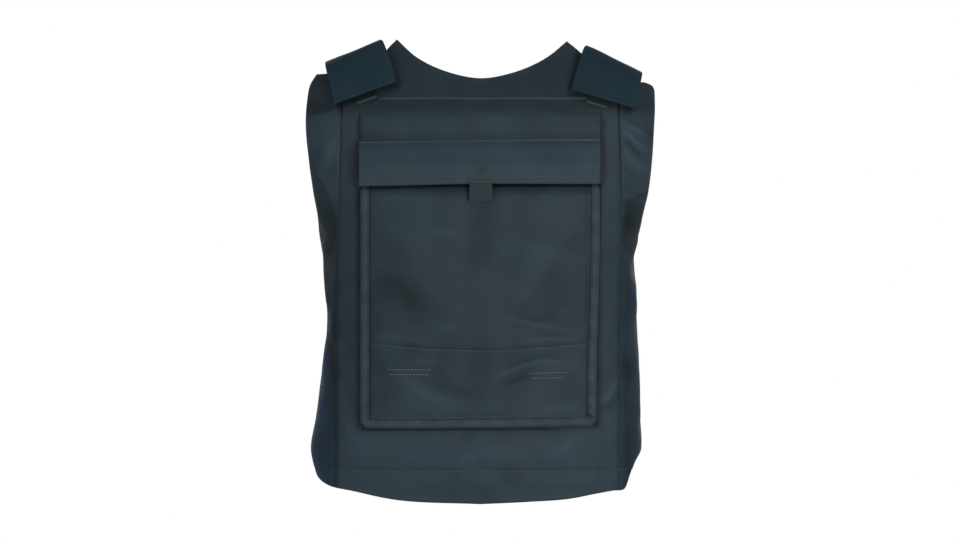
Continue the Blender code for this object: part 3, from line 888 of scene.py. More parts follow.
nylon = woven_nylon("vest_nylon", NYLON_COLOUR, weave_pitch=0.00055, roughness=0.56, gloss=0.22)
dark_nylon = woven_nylon("strap_nylon", DARK_NYLON_COLOUR, weave_pitch=0.00065, roughness=0.72, gloss=0.12)
tape = ribbed_webbing("binding_tape_weave", TAPE_COLOUR, rib_pitch=0.0009, roughness=0.70)
webbing = ribbed_webbing("tab_webbing_weave", WEBBING_COLOUR, rib_pitch=0.0014, roughness=0.74)
thread = sewing_thread("pale_thread", THREAD_COLOUR)
dark_thread = sewing_thread("matching_thread", DARK_THREAD_COLOUR)
bright_thread = sewing_thread("bar_thread", BRIGHT_THREAD_COLOUR)


# Front and back panels

FRONT_FOLDS = (
    Fold(((0.1640, 0.4380), (0.1760, 0.4330), (0.1900, 0.4250)), 0.0030, 0.0011),
    Fold(((0.1640, 0.4300), (0.1760, 0.4190), (0.1900, 0.4060)), 0.0032, 0.0017),
    Fold(((0.1635, 0.4225), (0.1760, 0.4100), (0.1880, 0.3970)), 0.0022, -0.0016),
    Fold(((0.1640, 0.4080), (0.1750, 0.3950), (0.1890, 0.3830)), 0.0040, 0.0012),
    Fold(((0.1630, 0.3900), (0.1760, 0.3800), (0.1930, 0.3720)), 0.0035, -0.0010),
    Fold(((0.1630, 0.3600), (0.1760, 0.3520), (0.1920, 0.3480)), 0.0050, 0.0010),
    Fold(((0.1640, 0.3350), (0.1720, 0.3220), (0.1860, 0.3100)), 0.0060, -0.0012),
    Fold(((0.1640, 0.2900), (0.1680, 0.2650), (0.1720, 0.2300)), 0.0045, -0.0012),
    Fold(((0.1340, 0.1235), (0.1414, 0.1202), (0.1490, 0.1300), (0.1545, 0.1440)), 0.0028, 0.0021),
    Fold(((0.1400, 0.1120), (0.1510, 0.1150), (0.1570, 0.1270)), 0.0040, -0.0013),
    Fold(((0.1400, 0.1980), (0.1450, 0.2050), (0.1500, 0.2150)), 0.0035, 0.0009),
    Fold(((-0.1500, 0.1330), (-0.1460, 0.1150), (-0.1380, 0.0980)), 0.0045, -0.0009),
    Fold(((-0.1560, 0.1060), (-0.1500, 0.0850), (-0.1380, 0.0740)), 0.0050, 0.0009),
    Fold(((-0.1760, 0.1940), (-0.1715, 0.1820), (-0.1690, 0.1560)), 0.0035, -0.0009),
    Fold(((-0.1790, 0.1780), (-0.1775, 0.1300), (-0.1765, 0.0900)), 0.0030, 0.0012),
    Fold(((-0.1650, 0.4250), (-0.1750, 0.4000), (-0.1850, 0.3700)), 0.0060, 0.0010),
    Fold(((-0.1640, 0.3300), (-0.1720, 0.3000), (-0.1760, 0.2600)), 0.0070, -0.0010),
    Fold(((0.0750, 0.0560), (0.0950, 0.0680), (0.1150, 0.0850)), 0.0080, 0.0009),
    Fold(((-0.0300, 0.0500), (0.0050, 0.0620), (0.0350, 0.0660)), 0.0080, 0.0008),
)
# Painted blue glints: streaks of painted reflection on the sides
PAINTED_GLINTS = (
    Fold(((-0.1785, 0.2000), (-0.1760, 0.1840), (-0.1728, 0.1660), (-0.1705, 0.1490)), 0.0016, 0.75),
    Fold(((-0.1800, 0.1900), (-0.1835, 0.1600), (-0.1870, 0.1200), (-0.1905, 0.0850)), 0.0020, 0.85),
    Fold(((-0.1820, 0.1480), (-0.1810, 0.1200), (-0.1805, 0.0800)), 0.0012, 0.55),
    Fold(((-0.1915, 0.0780), (-0.1905, 0.0550), (-0.1880, 0.0400)), 0.0025, 0.85),
    Fold(((-0.1785, 0.2450), (-0.1785, 0.2020)), 0.0028, 0.85),
    Fold(((0.1800, 0.2250), (0.1790, 0.2050)), 0.0030, 0.30),
)


def padded_panel(node, net, facing, inset, relief, wear_and_painted_light, padding):
    """Padded panel over a net of (along, height) points, with rolled edges."""
    distance = edge_distance(net)
    along, height = net[..., 0], net[..., 1]
    points, out = read_skin(along, height, facing)
    x = points[..., 0]
    stand = inset(along, height) + relief(x, along, height, distance)
    stand -= roll(distance, EDGE_ROLL)
    # Painted shade and light of the front's sides fade out round the body and join the panel's wear and
    # painted light
    round_side = ease((SIDE_FADE_END - points[..., 1]) / SIDE_FADE)
    tone = wear_and_painted_light(x, along, height, distance) + round_side * side_painted_shading(x, height) * (facing == FRONT)
    piece = cloth_grid(node + "_cover", points + out * stand[..., None], net, tone)
    # Painted blue sheen towards the front's lower sides, with painted blue glints on it
    side = np.clip((np.abs(x) - 0.160) * 55.0, 0.0, 1.0) * np.clip((0.309 - height) * 22.0, 0.0, 1.0)
    glints = fold_relief(PAINTED_GLINTS, x, height) * ease((GLINT_FADE_END - points[..., 1]) / GLINT_FADE)
    painted_blue_sheen = (side * np.where(x < 0, 1.0, 0.7) * round_side + glints) * (facing == FRONT)
    set_tone_attribute(piece, painted_blue_sheen.ravel(), "painted_blue_sheen")
    thicken(piece, padding, ease(distance / EDGE_REACH), EDGE_SHARE)
    dress(piece, node, nylon)
    return piece


def seam_x(name, height):
    """x of a princess seam at a height."""
    xs, heights = np.array(PRINCESS_SEAMS[name]).T
    return curve(height, heights, xs)


def seam_relief(away, across, seed, deep):
    """Groove of a sewn seam between two gently raised, puckered sides; deep is 1 for a full one."""
    uneven = 1.7 * ripple(across, away, 0.05, seed)
    pucker = 0.00022 * ridge(away, 0.009) * wave(across, PUCKER_PITCH, uneven)
    sides = 0.00045 * deep * ridge(np.abs(away) - 0.0042, 0.0028)
    return deep * (pucker - SEAM_DEPTH * ridge(away, 0.0011)) + sides * deep


def upper_seam(height):
    """1 on the upper part of a princess seam, 0 on its lower part."""
    return ease((height - 0.33) / 0.06)


def behind_pocket(x, along, height):
    """1 where the pocket's backing lies on the front panel, 0 elsewhere."""
    share = ease((0.1385 - np.abs(x - 0.0005)) / 0.004 + 1.0)
    share = share * ease((height - POCKET_BOTTOM) / 0.004 + 1.0) * ease((BACKING_TOP - height) / 0.004 + 1.0)
    return share * (np.abs(along) < FRONT_REACH)


def yoke_span(x):
    """1 between the straps, where the yoke seam shows, fading to 0 beside them."""
    return 1.0 - ease((np.abs(x - 0.004) - 0.114) / 0.008)


def front_held(along, height):
    """Places at which the front panel's cloth is sewn down before it settles."""
    sewn = behind_pocket(along, along, height) > 0.5
    for name in PRINCESS_SEAMS:
        course = np.array([along_at_x(x, min(level, 0.5)) for x, level in PRINCESS_SEAMS[name]])
        levels = np.array(PRINCESS_SEAMS[name])[:, 1]
        sewn |= np.abs(along - curve(height, levels, course)) < 0.0028
    return sewn | (np.abs(height - YOKE_SEAM) < 0.0026) | (np.abs(height - HEM_STITCH) < 0.0026)


FRONT_CLOTH = settle(lambda along, height: read_skin(along, height)[0], held=front_held,
                     limits=(-0.246, 0.246, 0.022, 0.486), steps=(99, 93),
                     slack=0.011, weight=0.5, cap=0.0022, seed=61)


def front_relief(x, along, height, distance):
    """Seams, folds and softness of the front panel."""
    total = np.zeros(np.shape(x))
    near = np.abs(along) < FRONT_REACH
    for seed, name in enumerate(PRINCESS_SEAMS):
        away = x - seam_x(name, height)
        deep = 0.45 + 0.55 * upper_seam(height)
        total += np.where(near, seam_relief(away, height, seed, deep), 0.0)
    above = height - YOKE_SEAM
    total += yoke_span(x) * (0.0006 * ridge(above - 0.0015, 0.0020) - 0.0004 * ridge(above + 0.0007, 0.0010)
                             + 0.00015 * ridge(above, 0.008) * wave(x, 0.011))
    hem = height - HEM_STITCH
    total += -0.0005 * ridge(hem, 0.0012) + 0.00012 * ridge(hem, 0.008) * wave(along, 0.012)
    soft = 0.0007 * ripple(along, height * 0.6, 0.085, 3) + 0.00035 * ripple(along, height, 0.030, 4)
    soft += read_settled(FRONT_CLOTH, along, height) + 1.4 * fold_relief(FRONT_FOLDS, x, height) * near
    calm = 1.0 - 0.6 * ease((np.abs(x) - 0.168) / 0.008) * ease((0.24 - height) / 0.04)
    total += soft * ease(distance / 0.015) * calm
    under = behind_pocket(x, along, height)
    return total * (1.0 - under) - 0.0004 * under


# Where the sides turn into shade: height and distance of the boundary from the middle
SIDE_SHADE = {
    -1: ((0.2790, 0.1760), (0.3045, 0.1664), (0.3330, 0.1665),
         (0.3500, 0.1710), (0.3729, 0.1800), (0.3866, 0.1915)),
    1: ((0.2870, 0.1720), (0.2988, 0.1642), (0.3160, 0.1630),
        (0.3330, 0.1665), (0.3535, 0.1722), (0.3615, 0.1900)),
}


def side_painted_shading(x, height):
    """Painted shade and painted light on the cloth beside the princess seams and at the armholes."""
    total = np.zeros(np.shape(x))
    for side, boundary in SIDE_SHADE.items():
        levels, limits = np.array(boundary).T
        shade = ease((side * x - curve(height, levels, limits)) / 0.004 + 0.5)
        shade = shade * ease((height - levels[0]) / 0.016 + 0.5) * ease((levels[-1] - height) / 0.010 + 0.5)
        total -= 0.40 * shade
    left_top = ease((height - 0.4447 - 0.239 * (x + 0.1977)) / 0.003 + 0.5) * ease((-0.1585 - x) / 0.002)
    right_top = ease((height - 0.4436 + 0.634 * (x - 0.1619)) / 0.004 + 0.5) * ease((x - 0.1625) / 0.002)
    total -= 0.34 * left_top + 0.26 * right_top
    total += 0.20 * ease((x - 0.1625) / 0.003) * ease((height - 0.355) / 0.02)
    total += 0.14 * ease((-0.1600 - x) / 0.003) * ease((height - 0.385) / 0.02)
    low = ease((0.28 - height) / 0.04)
    total -= low * (0.32 * ease((-0.1585 - x) / 0.006) + 0.24 * ease((x - 0.1530) / 0.006))
    corner = ease((0.20 - height) / 0.06)
    total -= corner * (0.06 * ease((-0.1600 - x) / 0.006) + 0.10 * ease((x - 0.1620) / 0.004))
    return total - 0.10 * ease((x - 0.1620) / 0.004) * ease((0.10 - height) / 0.04)


def strap_shade(x, height):
    """Shaded cloth under the straps' front ends and beside their inner edges."""
    total = np.zeros(np.shape(x))
    for shape in STRAPS.values():
        inner, outer = np.array(shape.front_in), np.array(shape.front_out)
        size = np.hypot(*(outer - inner))
        way = (outer - inner) / size
        below = -np.abs(way[0]) * (height - inner[1]) + way[1] * np.sign(way[0]) * (x - inner[0])
        past = (x - inner[0]) * way[0] + (height - inner[1]) * way[1]
        under = ridge(below - 0.0015, 0.0050) * ease((past + 0.006) / 0.006)
        under = under * ease((size + 0.002 - past) / 0.006)
        climb = np.array(shape.top_in) - inner
        beside = -((x - inner[0]) - climb[0] / climb[1] * (height - inner[1])) * np.sign(way[0])
        total -= 0.55 * under + 0.25 * ridge(beside - 0.002, 0.006) * (beside > 0) * (height > inner[1])
    return total


def front_tone_and_painted_light(x, along, height, distance):
    """Darker yoke and seams and lighter cloth towards the hem and beside the pocket, all painted shade and
    light; painted highlights on folds, painted shadows by the pocket, flap and straps, and random tone.
    """
    near = np.abs(along) < TONE_REACH
    # Painted highlights on folds and painted shade in creases, then painted shade on the yoke and the band
    # under it
    wear_and_painted_light = 1.4 * FOLD_SHADING * fold_relief(FRONT_FOLDS, x, height) * near
    wear_and_painted_light -= 0.16 * ease((height - BACKING_TOP + 0.004) / 0.006)
    wear_and_painted_light += SETTLED_FOLD_SHADING * read_settled(FRONT_CLOTH, along, height) + 0.09 * ease((0.041 - height) / 0.004)
    wear_and_painted_light += 0.09 * ease((0.16 - height) / 0.08) - 0.22 * ridge(height - 0.4565, 0.0075)
    # Painted highlight along the yoke seam's edge
    wear_and_painted_light += 0.28 * ridge(height - YOKE_SEAM - 0.0004, 0.0011) * yoke_span(x)
    for name in PRINCESS_SEAMS:
        away = x - seam_x(name, height)
        high = upper_seam(height)
        # Painted highlights on the seams' raised sides, painted shade in their grooves, and lighter lines
        # beside them low down
        line = 0.16 * high * ridge(np.abs(away) - 0.0045, 0.003) - (0.06 + 0.30 * high) * ridge(away, 0.0010)
        line -= 0.20 * (1 - high) * ridge(away - 0.001, 0.0048) * (name == "left")
        if name == "left":
            line += 0.26 * ridge(away + 0.0024, 0.0009) * ease((0.105 - height) / 0.02)
        else:
            line += 0.24 * (1 - high) * ridge(away - 0.0008, 0.0007) * ease((0.30 - height) / 0.08)
        wear_and_painted_light += near * line
    # Painted light on the strip right of the pocket and painted shade on the strip left of it
    strip = 0.16 * ease((x - 0.1400) / 0.002) * ease((0.158 - x) / 0.002)
    wear_and_painted_light += near * (strip - 0.05 * (x < -0.139) * (x > -0.157))
    # Painted shadows beside the flap, the backing and the pocket, and under the pocket's lower edge
    beside = ease((height - 0.362) / 0.01) * ease((0.4445 - height) / 0.004)
    wear_and_painted_light -= near * beside * (0.50 * ridge(x - 0.1405, 0.0026) + 0.65 * ridge(x + 0.1390, 0.0014))
    low = (1 - ease((height - 0.362) / 0.01)) * ease((height - POCKET_BOTTOM + 0.004) / 0.004)
    wear_and_painted_light -= near * low * (0.62 * ridge(x + 0.1384, 0.0016) + 0.45 * ridge(x - 0.1362, 0.0020))
    wear_and_painted_light += near * low * 0.12 * ridge(x + 0.1440, 0.0040)
    under = height - POCKET_BOTTOM + 0.0024 - 0.003 * ease(x / 0.13) ** 2
    wear_and_painted_light -= 0.80 * ridge(under, 0.0017) * (np.abs(x) < 0.135)
    wear_and_painted_light += near * strap_shade(x, height)
    wear_and_painted_light += 0.14 * ridge(distance - 0.003, 0.004) + 0.07 * ripple(along, height, 0.05, 71)
    return np.maximum(wear_and_painted_light, LEAST_TONE)


def front_net():
    """Net of the front panel, with columns on its seams and corners and rows on the yoke seam."""
    run_counts = (120, 12, 210, 15, 120)
    hem = np.concatenate([smooth_path(FRONT_HEM_LEFT, 200), smooth_path(FRONT_HEM_RIGHT, 200)[1:]])
    net = patch(*panel_edges(FRONT_TOP, run_counts, hem, FRONT_SIDE, FRONT, 260))
    rows = len(net)
    x = read_skin(net[..., 0], net[..., 1])[0][..., 0]
    x = np.where(np.abs(net[..., 0]) < FRONT_REACH, x, np.sign(net[..., 0]))
    seams = {name: crossing(x - seam_x(name, net[..., 1])) for name in PRINCESS_SEAMS}
    left, right = seams["left"], seams["right"]
    corners = [(corner - left[-1]) / (right[-1] - left[-1]) for corner in np.cumsum(run_counts)[:-1]]
    anchors = np.stack(
        [np.zeros(rows), left] + [left + corner * (right - left) for corner in corners]
        + [right, np.full(rows, net.shape[1] - 1)], axis=1)
    clusters = (EDGE_CLUSTERS[0], SEAM_CLUSTER, *[(0.0,)] * 4, SEAM_CLUSTER, EDGE_CLUSTERS[1])
    columns = reread(net, anchors, clusters, (42, 16, 3, 60, 5, 12, 42))
    lines = columns.transpose(1, 0, 2)
    hem_stitch = crossing(lines[..., 1] - HEM_STITCH)
    yoke = crossing(lines[..., 1] - YOKE_SEAM)
    low = np.where(lines[:, 0, 1] < HEM_STITCH - 0.014, hem_stitch, 14.0)
    anchors = np.stack([np.zeros(len(lines)), low, yoke, np.full(len(lines), rows - 1)], axis=1)
    clusters = (EDGE_CLUSTERS[0], STITCH_CLUSTER, SEAM_CLUSTER, EDGE_CLUSTERS[1])
    return reread(lines, anchors, clusters, (6, 128, 5)).transpose(1, 0, 2)


def tuck(along, height):
    """How far the back panel's wings lie inside the front's."""
    share = ease((np.abs(along) - TUCK_START) / (TUCK_FULL - TUCK_START))
    return -TUCK * share * (1.0 - ease((height - TUCK_TOP) / TUCK_FADE))


BACK_CLOTH = settle(lambda along, height: read_skin(along, height, BACK)[0],
                    held=lambda along, height: np.abs(height - YOKE_SEAM) < 0.001,
                    limits=(-0.24, 0.24, 0.020, 0.476), steps=(81, 77),
                    slack=0.006, weight=0.5, cap=0.0011, seed=62)


def back_relief(x, along, height, distance):
    """Edge stitching and softness of the back panel."""
    soft = 0.0006 * ripple(along, height * 0.6, 0.10, 11) + 0.0002 * ripple(along, height, 0.035, 12)
    soft = soft + read_settled(BACK_CLOTH, along, height)
    soft = np.minimum(soft, 0.0012) * ease(distance / 0.015) * (1.0 - ease((np.abs(along) - 0.12) / 0.03))
    return soft - 0.0005 * ridge(distance - 0.010, 0.0012)


def back_tone_and_painted_shade(x, along, height, distance):
    """Lighter edges of the back panel, and painted shade in the groove of its edge stitching."""
    return 0.14 * ridge(distance - 0.003, 0.004) - 0.2 * ridge(distance - 0.010, 0.0012)


def back_net():
    """Net of the back panel."""
    run_counts = (90, 180, 90)
    half = smooth_path(BACK_HEM, 200)
    hem = np.concatenate([half[::-1] * (-1.0, 1.0), half[1:]])
    net = patch(*panel_edges(BACK_TOP, run_counts, hem, BACK_SIDE, BACK, 240))
    rows, last = len(net), net.shape[1] - 1
    corners = np.cumsum(run_counts)[:-1]
    anchors = np.stack([np.full(rows, place) for place in (0, *corners, last)], axis=1)
    clusters = (EDGE_CLUSTERS[0], (0.0,), (0.0,), EDGE_CLUSTERS[1])
    columns = reread(net, anchors, clusters, (36, 60, 36)).transpose(1, 0, 2)
    anchors = np.stack([np.zeros(len(columns)), np.full(len(columns), rows - 1)], axis=1)
    return reread(columns, anchors, EDGE_CLUSTERS, (110,)).transpose(1, 0, 2)


front_panel = padded_panel("front_panel", front_net(), FRONT, lambda along, height: 0.0,
                           front_relief, front_tone_and_painted_light, FRONT_PADDING)
back_panel = padded_panel("back_panel", back_net(), BACK, tuck, back_relief, back_tone_and_painted_shade, BACK_PADDING)


# Shoulder straps and their tabs


def between(start, end, share):
    """Places between two points for an array of shares."""
    return np.array(start) + (np.array(end) - np.array(start)) * np.asarray(share)[..., None]


def strap_lines(side, shares, rows):
    """Courses of a strap's underside from its front end over the shoulder to its back end."""
    shape = STRAPS[side]
    lines = []
    for share in shares:
        end = between(shape.front_in, shape.front_out, share)
        top = between(shape.top_in, shape.top_out, share)
        tail = between(shape.back_in, shape.back_out, share)
        level = top[1] - STRAP_THICKNESS - SHOULDER_HEIGHT
        lap = STRAP_LAP_IN + (STRAP_LAP_OUT - STRAP_LAP_IN) * share
        climb = [between(end, top, lap * part) for part in STRAP_FRONT_SHARES]
        points = [before(*spot, STRAP_STANDOFF) for spot in climb]
        points += [(top[0], depth, level) for depth in (-STRAP_TOP_REACH, STRAP_TOP_REACH)]
        for part, standoff in zip(STRAP_BACK_SHARES, STRAP_BACK_STANDOFFS):
            points.append(before(*between(tail, top, part), standoff, BACK))
        lines.append(smooth_path(points, rows))
    return np.array(lines).transpose(1, 0, 2)


def shoulder_strap(side):
    """Wide padded strap with rolled edges and a turned rim at its front end."""
    shares = np.array([0.0, 0.012, 0.03, 0.055, 0.09, *np.linspace(0.14, 0.86, 22),
                       0.91, 0.945, 0.97, 0.988, 1.0])
    if side == "left":
        shares = shares[::-1]
    coarse = strap_lines(side, shares, 400)
    length = np.linalg.norm(np.diff(coarse[:, len(shares) // 2], axis=0), axis=1).sum()
    steps = np.array([0.0, 0.0005, 0.0012, 0.0023, 0.0036, 0.0044, 0.0052, 0.0062, 0.0080])
    middle = np.linspace(0.0105, length - 0.0105, 96)
    places = np.concatenate([steps, middle, length - steps[:5][::-1]]) / length * 400
    index = np.arange(401)
    under = np.stack([read_path(places, index, coarse[:, column]) for column in range(len(shares))], axis=1)
    out = normals_of(under)
    across, up = spans(under)
    distance = edge_distance(under)
    stand = np.full(distance.shape, STRAP_THICKNESS) - roll(distance, 0.0024)
    stand += 0.0004 * ease(distance / 0.02) + 0.0003 * ripple(across, up, 0.045, 21) * ease(distance / 0.01)
    stand -= 0.0005 * ridge(up - STRAP_RIM, 0.0009) + 0.00015 * ridge(distance - 0.008, 0.0009)
    # Lighter edges; painted shade at the strap's front end and in its rim's groove; the right strap darker
    # overall
    wear_and_painted_light = 0.10 * ridge(distance - 0.002, 0.003) - 0.12 * ease((0.0032 - up) / 0.0016)
    wear_and_painted_light = wear_and_painted_light - 0.16 * ridge(up - STRAP_RIM, 0.0009) - (0.08 if side == "right" else 0.0)
    piece = cloth_grid("shoulder_strap_cover_" + side, under + out * stand[..., None],
                       np.stack([across, up], axis=2), wear_and_painted_light)
    thicken(piece, STRAP_THICKNESS, ease(distance / 0.006), 0.30)
    dress(piece, "shoulder_strap_" + side, dark_nylon)
    return piece


def strap_tab(side):
    """Rolled webbing loop that comes out from under a strap's front end."""
    shape = STRAPS[side]
    sign = -1 if side == "left" else 1
    middle = between(shape.front_in, shape.front_out, shape.tab_share)
    run = (np.array(shape.front_out) - np.array(shape.front_in)) * sign
    run /= np.hypot(*run)
    drop = np.array([run[1], -run[0]])
    u = np.linspace(-0.5, 0.5, 29)[None, :]
    down = np.linspace(STRAP_TAB_DROP, -STRAP_TAB_HIDDEN, 56)[:, None]
    spot = middle + run * (STRAP_TAB_WIDTH * u + 0 * down)[..., None] + drop * (down + 0 * u)[..., None]
    bar = np.clip((down - STRAP_TAB_DROP + STRAP_TAB_ROLL) / STRAP_TAB_ROLL, -1.0, 1.0)
    lift = STRAP_TAB_SEAT + 0.0014 + 0.0024 * np.sqrt(1.0 - bar * bar)
    lift = lift - roll(STRAP_TAB_WIDTH * (0.5 - np.abs(u)), 0.0007)
    points = before(spot[..., 0], spot[..., 1], lift)
    uv = np.stack(np.broadcast_arrays(u * STRAP_TAB_WIDTH, down), axis=2)
    # Painted highlight on the rolled bar and painted shadow in the gap above it
    wear_and_painted_light = 1.1 * np.sqrt(1.0 - bar * bar) - 0.75 + 0 * u
    piece = cloth_grid("strap_tab_loop_" + side, points, uv, wear_and_painted_light)
    thicken(piece, STRAP_TAB_MESH)
    dress(piece, "strap_tab_" + side, webbing)
    return piece


straps = {side: shoulder_strap(side) for side in STRAPS}
tabs = {side: strap_tab(side) for side in STRAPS}


# Plate pocket, backing, binding and flap


BINDING_PUCKERS = (
    Fold(((0.1250, 0.2052), (0.1305, 0.2034)), 0.0008, -0.0011),
    Fold(((0.1245, 0.1936), (0.1300, 0.1910)), 0.0009, -0.0009),
    Fold(((0.1242, 0.1418), (0.1316, 0.1392)), 0.0009, -0.0013),
    Fold(((0.1250, 0.1296), (0.1292, 0.1270)), 0.0009, -0.0011),
    Fold(((0.1246, 0.1170), (0.1280, 0.1140)), 0.0009, -0.0012),
    Fold(((0.1165, 0.1106), (0.1215, 0.1120)), 0.0008, -0.0014),
    Fold(((0.1222, 0.1068), (0.1305, 0.1010)), 0.0010, -0.0015),
    Fold(((-0.1250, 0.1010), (-0.1180, 0.1030)), 0.0009, -0.0008),
    Fold(((-0.0650, 0.0945), (-0.0620, 0.1000)), 0.0008, -0.0006),
)
POCKET_FOLDS = (
    Fold(((0.0450, 0.3050), (0.0800, 0.2900), (0.1150, 0.2780)), 0.0080, 0.0010),
    Fold(((0.0250, 0.2180), (0.0600, 0.2080), (0.0950, 0.2020)), 0.0055, 0.0011),
    Fold(((0.0300, 0.2120), (0.0650, 0.2010), (0.1000, 0.1960)), 0.0035, -0.0009),
    Fold(((0.0150, 0.1500), (0.0450, 0.1600), (0.0700, 0.1660), (0.1050, 0.1640)), 0.0050, 0.0013),
    Fold(((0.0200, 0.1420), (0.0500, 0.1500), (0.0650, 0.1570)), 0.0045, -0.0008),
    Fold(((0.0400, 0.1880), (0.0700, 0.1905), (0.1100, 0.1930)), 0.0035, 0.0009),
    Fold(((0.0550, 0.1060), (0.0800, 0.1110), (0.1130, 0.1160)), 0.0050, 0.0010),
    Fold(((-0.0950, 0.1540), (-0.0650, 0.1300), (-0.0250, 0.1130)), 0.0085, 0.0013),
    Fold(((-0.0600, 0.1470), (-0.0300, 0.1330), (0.0050, 0.1260)), 0.0090, -0.0009),
    Fold(((-0.1180, 0.1950), (-0.0950, 0.1945), (-0.0650, 0.1890)), 0.0040, 0.0008),
    Fold(((-0.0850, 0.1650), (-0.0650, 0.1670), (-0.0350, 0.1640)), 0.0040, 0.0006),
    Fold(((-0.0850, 0.3300), (-0.0500, 0.3150), (-0.0100, 0.3080)), 0.0080, 0.0008),
    Fold(((-0.1050, 0.2600), (-0.0800, 0.2350), (-0.0600, 0.2200)), 0.0090, -0.0008),
    Fold(((-0.0700, 0.2250), (-0.0450, 0.2080), (-0.0200, 0.2020)), 0.0070, 0.0008),
)


def pocket_backing():
    """Cloth sheet that carries the pocket and shows above its flap."""
    x = np.linspace(BACKING_LEFT, BACKING_RIGHT, 90)[None, :]
    height = np.linspace(POCKET_BOTTOM, BACKING_TOP, 110)[:, None]
    edge = from_edges(x, height, BACKING_LEFT, BACKING_RIGHT, high=BACKING_TOP)
    stand = GAP + BACKING_CLOTH - roll(edge, 0.0008)
    stand = stand + 0.0004 * ripple(x, height, 0.05, 33) * ease(edge / 0.01)
    x, height = np.broadcast_arrays(x, height)
    share = (x - BACKING_LEFT) / (BACKING_RIGHT - BACKING_LEFT)
    narrow = 1.0 - ease((height - 0.12) / 0.25)
    below = ease((FLAP_BOTTOM + 0.004 - height) / 0.004)
    # Lighter overall; painted shadows along the backing's left and right edges, where the pocket hides it and
    # just above the flap; painted shade on its left part; random tone and a darker patch at the right above
    # the flap
    wear_and_painted_light = 0.10 - 0.6 * ridge(x - BACKING_LEFT, 0.0014) - 0.5 * ridge(BACKING_RIGHT - x, 0.0012)
    wear_and_painted_light = wear_and_painted_light - 0.45 * below
    wear_and_painted_light = wear_and_painted_light - 0.16 * ease((-0.085 - x) / 0.03) * ease((0.436 - height) / 0.010)
    wear_and_painted_light = wear_and_painted_light - 0.20 * ridge(height - 0.4215, 0.0050)
    wear_and_painted_light = wear_and_painted_light + 0.07 * ripple(x, height, 0.06, 72)
    wear_and_painted_light = wear_and_painted_light - 0.10 * ridge(height - 0.4245, 0.0025) * ridge(x - 0.09, 0.03)
    points = before(x + narrow * (0.0020 * (1 - share) - 0.0046 * share), height, stand)
    piece = cloth_grid("pocket_backing_cloth", points, np.stack([x, height], axis=2), wear_and_painted_light)
    thicken(piece, BACKING_MESH)
    dress(piece, "pocket_backing", nylon)
    return piece


def pocket_held(x, height):
    """Places at which the pocket's face is sewn through."""
    return np.abs(height - pocket_row(x)) < 0.0023


def pocket_row(x):
    """Height of the stitched row across the pocket's lower part, which sags in the middle."""
    return POCKET_ROW + POCKET_ROW_SAG * (np.abs(x + 0.002) / 0.12) ** 2


POCKET_CLOTH = settle(lambda x, height: before(x, height, POCKET_DEPTH), held=pocket_held,
                      limits=(-0.1235, 0.1190, 0.1015, 0.3860), steps=(55, 64),
                      slack=0.006, weight=0.5, cap=0.0016, seed=63)


def pocket_edge(x, height):
    """Distance of places on the pocket's face from its left, right or lower edge."""
    return from_edges(x, height, POCKET_LEFT, POCKET_RIGHT, low=POCKET_BOTTOM)


def under_flap(x, height):
    """1 where the flap hides the pocket and its painted shadow falls, 0 below its lower edge."""
    return ease((height - flap_edges(x)[0] + 0.0045) / 0.002)


def pocket_face(x, height):
    """How far the pocket's face stands outside the torso at places inside its outline."""
    edge = pocket_edge(x, height)
    soft = 0.0008 * ripple(x, height, 0.11, 31)
    soft = soft + 0.0005 * ripple(x + height * 0.7, height - x * 0.5, 0.045, 32)
    soft = soft + 1.5 * fold_relief(POCKET_FOLDS, x, height)
    face = POCKET_DEPTH - roll(edge, POCKET_ROLL) + soft * ease((edge - BINDING_WIDTH) / 0.03)
    face = face - 0.0006 * ridge(height - pocket_row(x), 0.0012) * ease((edge - BINDING_WIDTH) / 0.004)
    face = face + read_settled(POCKET_CLOTH, x, height)
    return face - POCKET_MOUTH_DIP * ease((height - 0.353) / 0.020)


def pocket_tone_and_painted_light(x, height):
    """Soft patches of the pocket's face, with painted highlights on its folds and above its bottom binding,
    painted shade in its creases, beside its binding and about its stitched row, and a painted shadow under
    the flap.
    """
    edge = pocket_edge(x, height)
    wear_and_painted_light = -0.15 - 0.10 * ridge(x + 0.005, 0.05) * ridge(height - 0.17, 0.05)
    wear_and_painted_light = wear_and_painted_light + 0.10 * ridge(height - 0.345, 0.02)
    wear_and_painted_light = wear_and_painted_light + 0.04 * ridge(x - 0.08, 0.06) + 0.07 * ripple(x, height, 0.055, 73)
    sides = from_edges(x, height, POCKET_LEFT, POCKET_RIGHT)
    wear_and_painted_light = wear_and_painted_light + 1.5 * FOLD_SHADING * fold_relief(POCKET_FOLDS, x, height)
    wear_and_painted_light = wear_and_painted_light + SETTLED_FOLD_SHADING * read_settled(POCKET_CLOTH, x, height)
    wear_and_painted_light = wear_and_painted_light - 0.28 * ridge(sides - BINDING_WIDTH - 0.001, 0.0014)
    wear_and_painted_light = wear_and_painted_light + 0.30 * ridge(edge - BINDING_WIDTH - 0.002, 0.0030) * ease((0.106 - height) / 0.004)
    wear_and_painted_light = wear_and_painted_light + 0.14 * ridge(height - 0.1130, 0.016) * ridge(x + 0.045, 0.055)
    above = height - pocket_row(x)
    wear_and_painted_light = wear_and_painted_light - 0.30 * ridge(above - 0.0028, 0.0014) + 0.20 * ridge(above, 0.0010)
    return wear_and_painted_light - 0.75 * under_flap(x, height)


